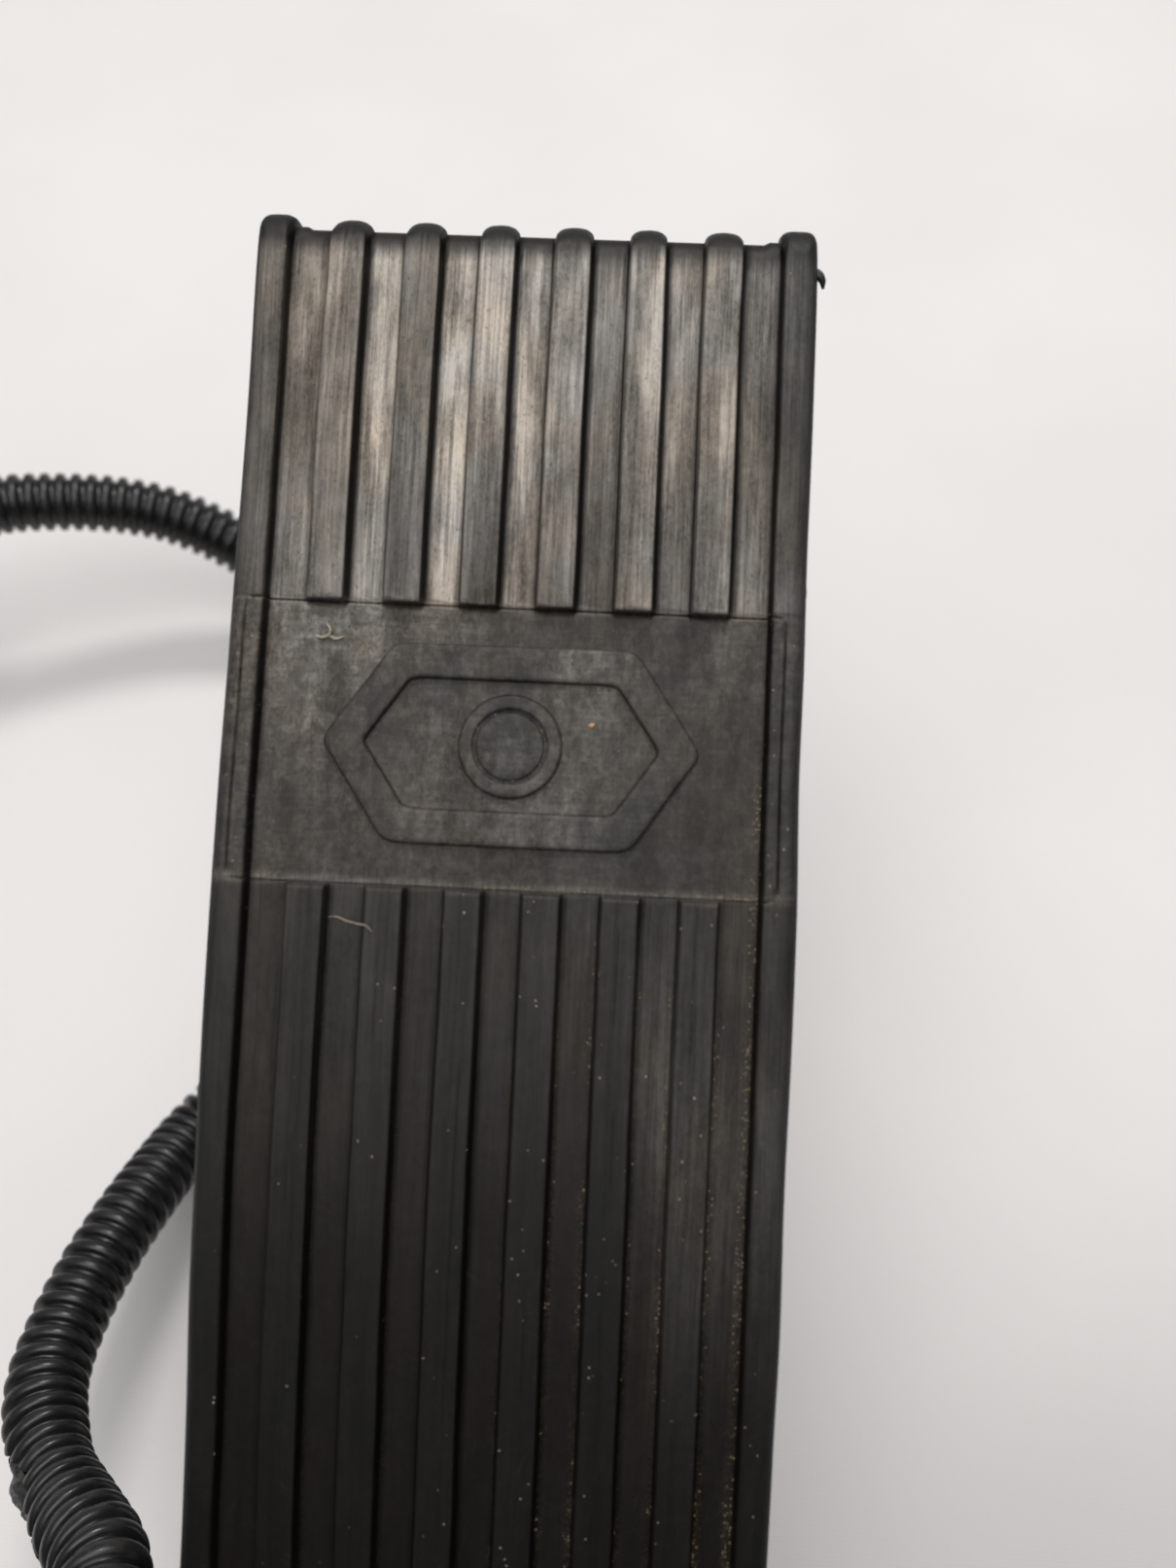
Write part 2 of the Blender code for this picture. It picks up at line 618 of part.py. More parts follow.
cup = rod("X", SHAFT, -56, -34.1, 17.0, seg=28)
flange = circle(SHAFT, 16.9, 28)
for ear in EARS:
    flange += circle(ear, 6.0, 16)
cup = join(
    cup,
    slab(hull(flange), -38.1, -34.1),
    angled_rod(HEEL_OUTLET, HEEL_WAY, 0, 15.5, OUTLET_R),
    rod("Y", TOE_OUTLET, 66, 84, OUTLET_R),
)
cup = cut(
    cup,
    rod("X", SHAFT, -60, -36.3, 13.4),  # rotor chamber
    rod("X", SHAFT, -60, -48.4, 15.0),  # seat for the board and cover
    rod("X", SHAFT, -40, -30, 5.6),  # shaft hole
    angled_rod(HEEL_OUTLET, HEEL_WAY, 8.5, 20, SOCKET_R),
    rod("Y", TOE_OUTLET, 76.5, 90, SOCKET_R),
    angled_rod(HEEL_OUTLET, HEEL_WAY, -3, 10, WIREWAY_R, seg=16),
    rod("Y", TOE_OUTLET, 64, 78, WIREWAY_R, seg=16),
    *[rod("X", ear, -45, -30, EAR_HOLE_R, seg=16) for ear in EARS],
)
finish("sensor_housing", cup, PLASTIC, SHAFT_ORIGIN, round_piece=False)
profile = [(-58.3, 0), (-58.3, 16.2), (-57.5, 17.0), (-56.3, 17.0), (-56.3, 14.6)]
profile += [(-54.3, 14.6), (-54.3, 0)]
finish("sensor_cover", turned(profile, SHAFT, 32), PLASTIC, SHAFT_ORIGIN)
profile = [(-46.4, 0), (-46.4, 9.5), (-38.2, 9.5), (-38.2, SHAFT_BORE)]
profile += [(-40.4, SHAFT_BORE), (-40.4, 0)]
finish("sensor_rotor", turned(profile, SHAFT), LOCK, SHAFT_ORIGIN)
finish("sensor_board", rod("X", SHAFT, -50.3, -48.7, 14.6, seg=28), BOARD, SHAFT_ORIGIN)
HEAD_X = -38.4  # underside of the screw heads
profile = [(-41.6, 0), (-41.6, 3.4), (-40.9, 4.1), (HEAD_X, 4.1), (HEAD_X, 2.0)]
profile += [(-28, 2.0), (-28, 0)]
for end, ear in zip(("heel", "toe"), EARS):
    finish(f"sensor_screw_{end}", turned(profile, ear, 16), ZINC, (HEAD_X, *ear))

# ---- harness ------------------------------------------------------------------------
CONDUIT_R, CONDUIT_WALL = 6.65, 1.4
WIRE_R = 1.1
WIRE_OFFSET = 2.1  # from the conduit's centre line
WIRE_PITCH = 4.4  # across a connector

# Centre lines, (x, y, z), ending on the floor at the connector.
# The sensor run leaves the heel-side outlet, sweeps up beside the left edge of the
# treadle and comes down to the floor beyond the heel.
SENSOR_RUN = [
    (-59.0, 31.5, 12.2), (-65.6, 24.7, 10.8),
    (-70.3, 17.2, 13.5), (-73.5, 4.1, 25.0), (-76.1, -8.5, 33.4),
    (-77.2, -20.4, 40.0), (-75.9, -29.5, 45.6), (-70.7, -37.7, 51.5),
    (-60.7, -45.5, 61.7), (-54.0, -49.6, 67.8), (-50.2, -55.6, 74.2),
    (-49.0, -67.0, 78.3), (-49.8, -84.0, 75.5), (-53.0, -103.0, 61.0),
    (-57.0, -121.0, 42.0), (-59.5, -137.0, 23.0), (-60.0, -152.0, 10.8),
    (-60.0, -166.0, 7.6), (-60.0, -176.0, 7.6), (-60.0, -186.0, 7.6),
]
# The switch run leaves towards the toe, arcs out to the left and drops to the floor.
SWITCH_RUN = [
    (-81.8, 155.9, 27.8), (-90.2, 157.8, 32.1), (-98.4, 158.4, 35.8),
    (-106.7, 157.7, 38.7), (-115.1, 156.2, 41.2), (-123.4, 154.2, 43.2),
    (-131.0, 152.0, 44.6), (-140.6, 148.6, 44.5), (-150.4, 144.9, 42.4),
    (-160.5, 133.0, 34.0), (-166.0, 118.5, 24.0), (-168.0, 103.0, 13.5),
    (-168.0, 90.0, 8.6), (-168.0, 78.0, 7.6), (-168.0, 66.0, 7.6),
    (-168.0, 55.0, 7.6), (-168.0, 45.0, 7.6),
]


def smooth_path(points, step):
    """A Catmull-Rom path through its control points, resampled at equal steps."""
    knots = np.array(points, float)
    knots = np.vstack([2 * knots[0] - knots[1], knots, 2 * knots[-1] - knots[-2]])
    out = []
    for before, here, after, beyond in zip(knots, knots[1:], knots[2:], knots[3:]):
        for t in np.linspace(0, 1, 12, endpoint=False):
            square = (2 * before - 5 * here + 4 * after - beyond) * t**2
            cube = (3 * here - before - 3 * after + beyond) * t**3
            out.append(0.5 * (2 * here + (after - before) * t + square + cube))
    out.append(knots[-2])
    out = np.array(out)
    lengths = np.linalg.norm(np.diff(out, axis=0), axis=1)
    travelled = np.concatenate([[0], np.cumsum(lengths)])
    count = max(2, int(round(travelled[-1] / step)))
    stops = np.linspace(0, travelled[-1], count + 1)
    return np.stack([np.interp(stops, travelled, out[:, k]) for k in range(3)], axis=1)


def sides_of(path):
    """Two directions square to the path at each point, without twist."""
    heading = tangents(path)
    side = np.cross(heading[0], (0, 0, 1.0))
    sides = [side / np.linalg.norm(side)]
    for ahead in heading[1:]:
        side = sides[-1] - ahead * np.dot(sides[-1], ahead)
        sides.append(side / np.linalg.norm(side))
    sides = np.array(sides)
    return sides, np.cross(heading, sides)


def eased(start, start_way, end, end_way, reach, count):
    """Inner points of a cubic bend between two ends with set directions."""
    start, start_way, end, end_way = map(np.array, (start, start_way, end, end_way))
    leave, arrive = start + start_way * reach, end - end_way * reach
    return [
        tuple(
            (1 - t) ** 3 * start
            + 3 * (1 - t) ** 2 * t * leave
            + 3 * (1 - t) * t * t * arrive
            + t**3 * end
        )
        for t in np.linspace(0, 1, count + 2)[1:-1]
    ]


def conduit(name, control):
    tube = baked(round_wire(smooth_path(control, 9.0), CONDUIT_R, 3, caps=False))
    wall = tube.modifiers.new("wall", "SOLIDIFY")
    wall.thickness = CONDUIT_WALL
    wall.offset = -1.0
    wall.use_rim = True
    finish(f"{name}_conduit", baked(tube), LOOM)


def wires(name, control, way_out):
    """Three wires in the conduit, fanned out level into the connector."""
    x, y, z = control[-1]
    centre = smooth_path(control, 12.0)
    first, second = sides_of(centre)
    angles = [2 * math.pi * k / 3 + math.pi / 2 for k in range(3)]
    bundle = [
        centre + WIRE_OFFSET * (math.cos(angle) * first + math.sin(angle) * second)
        for angle in angles
    ]
    bundle.sort(key=lambda line: line[-1, 0])  # left to right, so that they don't cross
    for k, (label, mat), line in zip((-1, 0, 1), WIRES.items(), bundle):
        head = line[0] - 4.0 * np.array(way_out)
        wire_x = x + k * WIRE_PITCH
        points = [head, *line, (wire_x, y - 14, z), (wire_x, y - 30.6, z)]
        finish(f"{name}_wire_{label}", baked(round_wire(points, WIRE_R, 1)), mat)


def connector(name, x, y, z):
    """Shell, wire seal and lock; the wires enter from +Y."""

    def box(half_x, low, high, half_z, bevel=0.0):
        return block(about(x, half_x), (y + low, y + high), about(z, half_z), bevel)

    shell = box(9.5, -56, -22, 7.3, bevel=1.6)
    shell = join(shell, block(about(x, 3.2), (y - 48, y - 36), (13, 17.2)))  # top tab
    shell = cut(shell, box(7.4, -31, -15, 4.2), box(7.4, -65, -39, 4.2))
    finish(f"{name}_connector", shell, PLASTIC, round_piece=False)
    seal = box(7.0, -29.5, -23.5, 3.8)
    lock = box(7.0, -46, -39.4, 3.8)
    for k in (-1, 0, 1):
        wire_x = x + WIRE_PITCH * k
        seal = cut(seal, rod("Y", (wire_x, z), y - 35, y - 20, 1.5, seg=10))
        lock = cut(lock, block(about(wire_x, 1.2), (y - 50, y - 36), about(z, 1.4)))
    finish(f"{name}_connector_seal", seal, SEAL, round_piece=False)
    finish(f"{name}_connector_lock", lock, LOCK, round_piece=False)


def harness_run(name, control, way_out):
    x, y, z = control[-1]
    conduit(name, control)
    wires(name, control, way_out)
    tape = ring(y - 1.0, y + 17.0, CONDUIT_R + GAP, 7.45, (x, z), 20, "Y")
    finish(f"{name}_tape_wrap", tape, TAPE)
    connector(name, x, y, z)


start = [tuple(HEEL_OUTLET + reach * HEEL_WAY) for reach in (8.8, 12.0, 15.5, 18.0)]
harness_run("sensor", start + SENSOR_RUN, HEEL_WAY)
start = [(TOE_OUTLET[0], y, TOE_OUTLET[1]) for y in (76.8, 81.0, 85.0, 88.5)]
bend = eased(start[-1], (0, 1, 0), SWITCH_RUN[0], (-0.76, 0.1, 0.6), reach=32, count=4)
harness_run("switch", start + bend + SWITCH_RUN, (0, 1, 0))

for leftover in list(work.objects):
    bpy.data.objects.remove(leftover, do_unlink=True)
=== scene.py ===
"""Looks for an accelerator treadle: ribbed rubber pad, corrugated leads, springs, every finish.

World axes: x across the pedal, y from the heel hinge towards the toe, z up, floor near z = 0.
Treadle coordinates (x, u, n): u runs up the plate from the hinge, n stands square to it.
Lengths are in mm, turned to metres when a mesh is made. Material distances are in metres.
"""

import json
import math

import bmesh
import bpy
import numpy as np
from mathutils import Matrix, Vector

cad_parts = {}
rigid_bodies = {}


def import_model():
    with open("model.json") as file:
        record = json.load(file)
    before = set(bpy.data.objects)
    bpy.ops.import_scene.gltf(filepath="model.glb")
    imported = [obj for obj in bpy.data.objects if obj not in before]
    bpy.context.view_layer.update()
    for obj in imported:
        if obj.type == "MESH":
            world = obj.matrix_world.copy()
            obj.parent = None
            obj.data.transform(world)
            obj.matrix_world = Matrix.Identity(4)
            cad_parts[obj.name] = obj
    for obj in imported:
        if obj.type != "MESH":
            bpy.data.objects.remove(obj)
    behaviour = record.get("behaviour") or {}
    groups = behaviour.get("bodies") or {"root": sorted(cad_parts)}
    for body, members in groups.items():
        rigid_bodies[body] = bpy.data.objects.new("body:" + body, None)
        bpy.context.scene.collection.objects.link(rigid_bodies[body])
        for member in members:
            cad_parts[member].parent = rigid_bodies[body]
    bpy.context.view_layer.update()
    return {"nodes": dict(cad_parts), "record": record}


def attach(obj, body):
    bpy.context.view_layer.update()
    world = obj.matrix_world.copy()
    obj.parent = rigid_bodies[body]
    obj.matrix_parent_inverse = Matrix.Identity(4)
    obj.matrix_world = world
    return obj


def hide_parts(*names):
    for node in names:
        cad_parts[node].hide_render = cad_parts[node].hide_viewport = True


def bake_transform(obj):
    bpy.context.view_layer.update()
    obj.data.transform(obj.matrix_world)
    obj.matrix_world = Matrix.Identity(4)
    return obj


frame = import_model()
scene = bpy.context.scene
for stray in list(scene.objects):
    if stray.type in ("LIGHT", "CAMERA") or stray.name == "Cube":
        bpy.data.objects.remove(stray)

# ---------------------------------------------------------------- driving sizes
HINGE_Y, HINGE_Z = -112.0, 28.0
TREADLE_IDLE = math.radians(27.0)
BEND_ANGLE, BEND_START, BEND_END = 0.105, 110.0, 175.0  # the plate curves down between these u
SHAFT_Y, SHAFT_Z = 58.0, 34.0
ARM_IDLE = math.radians(135.0)

PAD_END = 259.0  # u where the top starts to roll over the toe
PAD_TOP, RIB_DEPTH = 22.7, 1.9  # n of the rib tops, and the grooves below them
GROOVE_FLOOR = PAD_TOP - RIB_DEPTH
PAD_FOOT = 2.0  # n of the lower edge
HALF_TOP, SIDE_ROUND, TOE_ROUND = 36.2, 1.8, 4.9
HALF_PAD = HALF_TOP + SIDE_ROUND
PANEL_LOW, PANEL_HIGH = 173.0, 210.0  # u of the flat insert between the ribs
SEAM_X, SEAM_CORNER = (-35.7, 35.3), 1.6  # the insert's outline on the side borders

# x of each rib: offsets of the two fine lines scored along its top
RIB_LINES = {
    -25.5: (-0.45, 0.55), -15.3: (-0.30, 0.45), -5.1: (0.05, 0.75),
    5.1: (-0.30, 0.30), 15.3: (0.0, 0.40), 25.5: (-0.25, 0.25),
}
RIBS = tuple(RIB_LINES)
GROOVES = (-20.4, -10.2, 0.0, 10.2, 20.4)

# the raised hexagon on the insert
BADGE_U, BADGE_HALF_U, BADGE_POINT, BADGE_SHOULDER = 191.6, 13.2, 25.0, 16.0


def bow(u):
    """Drop of the curved plate below its straight line."""
    u = np.asarray(u, float)
    run = BEND_END - BEND_START
    curved = -((u - BEND_START) ** 2) * BEND_ANGLE / (2 * run)
    straight = -BEND_ANGLE * run / 2 - BEND_ANGLE * (u - BEND_END)
    return np.where(u <= BEND_START, 0.0, np.where(u <= BEND_END, curved, straight))


def treadle_to_world(points):
    """(x, u, n) in mm to world metres, with the treadle at rest."""
    x, u, n = points[:, 0], points[:, 1], points[:, 2] + bow(points[:, 1])
    y = HINGE_Y + u * math.cos(TREADLE_IDLE) - n * math.sin(TREADLE_IDLE)
    z = HINGE_Z + u * math.sin(TREADLE_IDLE) + n * math.cos(TREADLE_IDLE)
    return np.stack([x, y, z], axis=1) / 1000.0


# ---------------------------------------------------------------- shaping functions
def smooth(t):
    t = np.clip(t, 0, 1)
    return t * t * (3 - 2 * t)


def ease(value, start, run):
    """Climbs smoothly from 0 at start to 1 at start + run; run may be negative."""
    return smooth((value - start) / run)


def bell(value, centre, width):
    return np.exp(-(((value - centre) / width) ** 2))


def value_noise(x, y, seed):
    """Smooth noise in -0.5..0.5 over a repeating 128 x 128 lattice."""
    lattice = np.random.RandomState(seed).rand(128, 128)
    x, y = np.broadcast_arrays(np.asarray(x, float), np.asarray(y, float))
    col, row = np.floor(x).astype(int), np.floor(y).astype(int)
    fx, fy = x - col, y - row
    fx, fy = fx * fx * (3 - 2 * fx), fy * fy * (3 - 2 * fy)
    c0, c1, r0, r1 = col % 128, (col + 1) % 128, row % 128, (row + 1) % 128
    near = lattice[c0, r0] * (1 - fx) + lattice[c1, r0] * fx
    far = lattice[c0, r1] * (1 - fx) + lattice[c1, r1] * fx
    return near * (1 - fy) + far * fy - 0.5


def fbm(x, y, seed, octaves=3):
    """Noise summed over octaves, each twice as fine and half as strong."""
    total = 0.0
    for k in range(octaves):
        layer = value_noise(np.asarray(x) * 2**k, np.asarray(y) * 2**k, seed + k)
        total = total + layer / 2**k
    return total


# ---------------------------------------------------------------- mesh helpers
def new_object(name, verts, faces, attributes=None, weld=None, sharp=35.0):
    """A mesh object from metres and index lists, normals outwards, with point attributes."""
    mesh = bpy.data.meshes.new(name)
    verts = [tuple(v) for v in np.asarray(verts, float)]
    mesh.from_pydata(verts, [], [tuple(int(i) for i in face) for face in faces])
    for key, values in (attributes or {}).items():
        values = np.asarray(values, np.float32)
        is_vector = values.ndim == 2
        layer = mesh.attributes.new(key, "FLOAT_VECTOR" if is_vector else "FLOAT", "POINT")
        layer.data.foreach_set("vector" if is_vector else "value", values.ravel())
    bm = bmesh.new()
    bm.from_mesh(mesh)
    if weld:
        bmesh.ops.remove_doubles(bm, verts=bm.verts, dist=weld)
    bmesh.ops.recalc_face_normals(bm, faces=bm.faces)
    bm.to_mesh(mesh)
    bm.free()
    mesh.polygons.foreach_set("use_smooth", [True] * len(mesh.polygons))
    mesh.set_sharp_from_angle(angle=math.radians(sharp))
    mesh.update()
    ob = bpy.data.objects.new(name, mesh)
    scene.collection.objects.link(ob)
    return ob


def grid_faces(rows, cols, base=0, wrap=False):
    """Quads of a rows x cols point grid, its columns closed into rings when wrapped."""
    row, col = np.meshgrid(np.arange(rows - 1), np.arange(cols if wrap else cols - 1), indexing="ij")
    here = base + row * cols + col
    beside = base + row * cols + (col + 1) % cols
    return np.stack([here, beside, beside + cols, here + cols], axis=-1).reshape(-1, 4)


def unit(vectors):
    return vectors / np.linalg.norm(vectors, axis=-1, keepdims=True)


def arc_lengths(path):
    return np.concatenate([[0], np.cumsum(np.linalg.norm(np.diff(path, axis=0), axis=1))])


def sample(run, values, stops):
    """Rows of values, known at the lengths in run, interpolated at the stops."""
    return np.stack([np.interp(stops, run, values[:, k]) for k in range(3)], axis=1)


def at_lengths(path, stops):
    return sample(arc_lengths(path), path, stops)


def catmull(points, step):
    """A rounded path through the points, resampled at equal steps."""
    points = np.array(points, float)
    ends = 2 * points[0] - points[1], 2 * points[-1] - points[-2]
    points = np.vstack([ends[0], points, ends[1]])
    path = []
    for i in range(1, len(points) - 2):
        a, b, c, d = points[i - 1 : i + 3]
        for t in np.linspace(0, 1, 12, endpoint=False):
            square = (2 * a - 5 * b + 4 * c - d) * t**2
            cube = (3 * b - a - 3 * c + d) * t**3
            path.append(0.5 * (2 * b + (c - a) * t + square + cube))
    path = np.array(path + [points[-2]])
    length = arc_lengths(path)[-1]
    count = max(2, int(round(length / step)))
    return at_lengths(path, np.linspace(0, length, count + 1))


def softened(path, passes):
    """Evens out the small kinks of a resampled path, ends held."""
    path = path.copy()
    for _ in range(passes):
        path[1:-1] = 0.25 * path[:-2] + 0.5 * path[1:-1] + 0.25 * path[2:]
    return path


def tangents(path):
    return unit(np.gradient(path, axis=0))


def carried_sides(path):
    """Two directions square to the path at each point, without twist."""
    along = tangents(path)
    firsts = [unit(np.cross(along[0], (0, 0, 1.0)))]
    for t in along[1:]:
        firsts.append(unit(firsts[-1] - t * np.dot(firsts[-1], t)))
    firsts = np.array(firsts)
    return firsts, np.cross(along, firsts)


def sweep(centre, first, second, radius, angles):
    """Rings about the centre points; radius and angles are (row, column) grids."""
    across = np.cos(angles)[..., None] * first[:, None] + np.sin(angles)[..., None] * second[:, None]
    return centre[:, None] + radius[..., None] * across


def tube(path, radius, around):
    """Points and faces of a closed round tube; radius is one value or one per path point."""
    first, second = carried_sides(path)
    angles = np.linspace(0, 2 * math.pi, around, endpoint=False)[None, :]
    rings = sweep(path, first, second, np.reshape(radius, (-1, 1)), angles)
    faces = grid_faces(len(path), around, wrap=True).tolist()
    last = (len(path) - 1) * around
    faces += [list(range(around)), list(range(last, last + around))]
    return rings.reshape(-1, 3), faces


# ---------------------------------------------------------------- shader building
class Signal:
    """A node output; arithmetic on it adds one node per operation."""

    def __init__(self, graph, socket):
        self.graph, self.socket = graph, socket

    def __add__(self, other):
        return self.graph.math("ADD", self, other)

    def __sub__(self, other):
        return self.graph.math("SUBTRACT", self, other)

    def __rsub__(self, other):
        return self.graph.math("SUBTRACT", other, self)

    def __mul__(self, other):
        return self.graph.math("MULTIPLY", self, other)

    def __truediv__(self, other):
        return self.graph.math("DIVIDE", self, other)

    def __gt__(self, other):
        return self.graph.math("GREATER_THAN", self, other)

    def __lt__(self, other):
        return self.graph.math("LESS_THAN", self, other)

    def max(self, other):
        return self.graph.math("MAXIMUM", self, other)

    def sin(self):
        return self.graph.math("SINE", self)

    def fract(self):
        return self.graph.math("FRACT", self)

    def ramp(self, start, end, to=(0.0, 1.0), linear=False):
        """Maps start..end onto the two values of to, smoothly unless linear."""
        kind = "LINEAR" if linear else "SMOOTHSTEP"
        values = enumerate((self, start, end, *to))
        return self.graph.add("MapRange", values, interpolation_type=kind)


class Graph:
    """Adds shader nodes to one node tree."""

    def __init__(self, tree):
        self.tree = tree

    def put(self, socket, value):
        if isinstance(value, Signal):
            self.tree.links.new(value.socket, socket)
        elif isinstance(value, tuple) and len(value) == 3 and socket.type == "RGBA":
            socket.default_value = (*value, 1.0)
        else:
            socket.default_value = value

    def node(self, kind, inputs=(), **settings):
        """A node with its settings, and its inputs by index or name."""
        node = self.tree.nodes.new("ShaderNode" + kind)
        for key, value in settings.items():
            setattr(node, key, value)
        for key, value in dict(inputs).items():
            self.put(node.inputs[key], value)
        return node

    def add(self, kind, inputs=(), out=0, **settings):
        return Signal(self, self.node(kind, inputs, **settings).outputs[out])

    def math(self, operation, a, b=0.0, c=0.0):
        return self.add("Math", enumerate((a, b, c)), operation=operation)

    def attribute(self, name, out="Fac"):
        return self.add("Attribute", out=out, attribute_name=name)

    def millimetres(self):
        """Object coordinates in mm."""
        return self.scaled(self.add("TexCoord", out="Object"), (1000.0, 1000.0, 1000.0))

    def split(self, vector):
        outputs = self.node("SeparateXYZ", {0: vector}).outputs
        return [Signal(self, socket) for socket in outputs]

    def join(self, x, y, z):
        return self.add("CombineXYZ", enumerate((x, y, z)))

    def scaled(self, vector, by):
        return self.add("VectorMath", {0: vector, 1: by}, operation="MULTIPLY")

    def moved(self, vector, by):
        return self.add("VectorMath", {0: vector, 1: by}, operation="ADD")

    def noise(self, vector, scale=1.0, detail=3.0, rough=0.5, distortion=0.0, out="Fac"):
        """Noise texture; a scale of three values stretches the vector first."""
        if isinstance(scale, tuple):
            vector, scale = self.scaled(vector, scale), 1.0
        inputs = {"Vector": vector, "Scale": scale, "Detail": detail}
        inputs.update({"Roughness": rough, "Distortion": distortion})
        return self.add("TexNoise", inputs, out=out)

    def cells(self, vector, scale=1.0):
        """Distance to the nearest cell point, and that cell's random colour."""
        inputs = {"Vector": vector, "Scale": scale}
        outputs = self.node("TexVoronoi", inputs, feature="F1").outputs
        return Signal(self, outputs["Distance"]), Signal(self, outputs["Color"])

    def cell_edges(self, vector):
        """Distance to the nearest border between cells."""
        inputs = {"Vector": vector, "Scale": 1.0}
        return self.add("TexVoronoi", inputs, out="Distance", feature="DISTANCE_TO_EDGE")

    def mix(self, amount, a, b):
        """Colour a turning into b."""
        return self.add("Mix", {0: amount, 6: a, 7: b}, out=2, data_type="RGBA")

    def blend(self, amount, a, b):
        """Value a turning into b."""
        return self.add("Mix", {0: amount, 2: a, 3: b})

    def bump(self, height, distance, strength=1.0):
        inputs = {"Strength": strength, "Distance": distance, "Height": height}
        return self.add("Bump", inputs)

    def edges(self, radius):
        """1 where the surface turns sharply, from a bevelled normal against the true one."""
        bevelled = self.add("Bevel", {"Radius": radius}, samples=4)
        true = self.add("NewGeometry", out="Normal")
        inputs = {0: bevelled, 1: true}
        likeness = self.add("VectorMath", inputs, out="Value", operation="DOT_PRODUCT")
        return likeness.ramp(1.0, 0.65)


class Material(Graph):
    """One Principled material."""

    INPUTS = {
        "color": "Base Color", "rough": "Roughness", "metal": "Metallic", "normal": "Normal",
        "spec": "Specular IOR Level", "spec_tint": "Specular Tint",
        "sheen": "Sheen Weight", "subsurface": "Subsurface Weight",
    }

    def __init__(self, name):
        self.material = bpy.data.materials.new(name)
        self.material.use_nodes = True
        super().__init__(self.material.node_tree)
        self.tree.nodes.clear()
        output = self.node("OutputMaterial")
        self.shader = self.node("BsdfPrincipled")
        self.tree.links.new(self.shader.outputs[0], output.inputs[0])

    def finish(self, **values):
        for key, value in values.items():
            self.put(self.shader.inputs[self.INPUTS[key]], value)
        return self.material


def shade(color, by, lift=0.0):
    """A colour brightened or darkened by a factor, then lifted, held at 1."""
    return tuple(min(1.0, by * channel + lift) for channel in color)


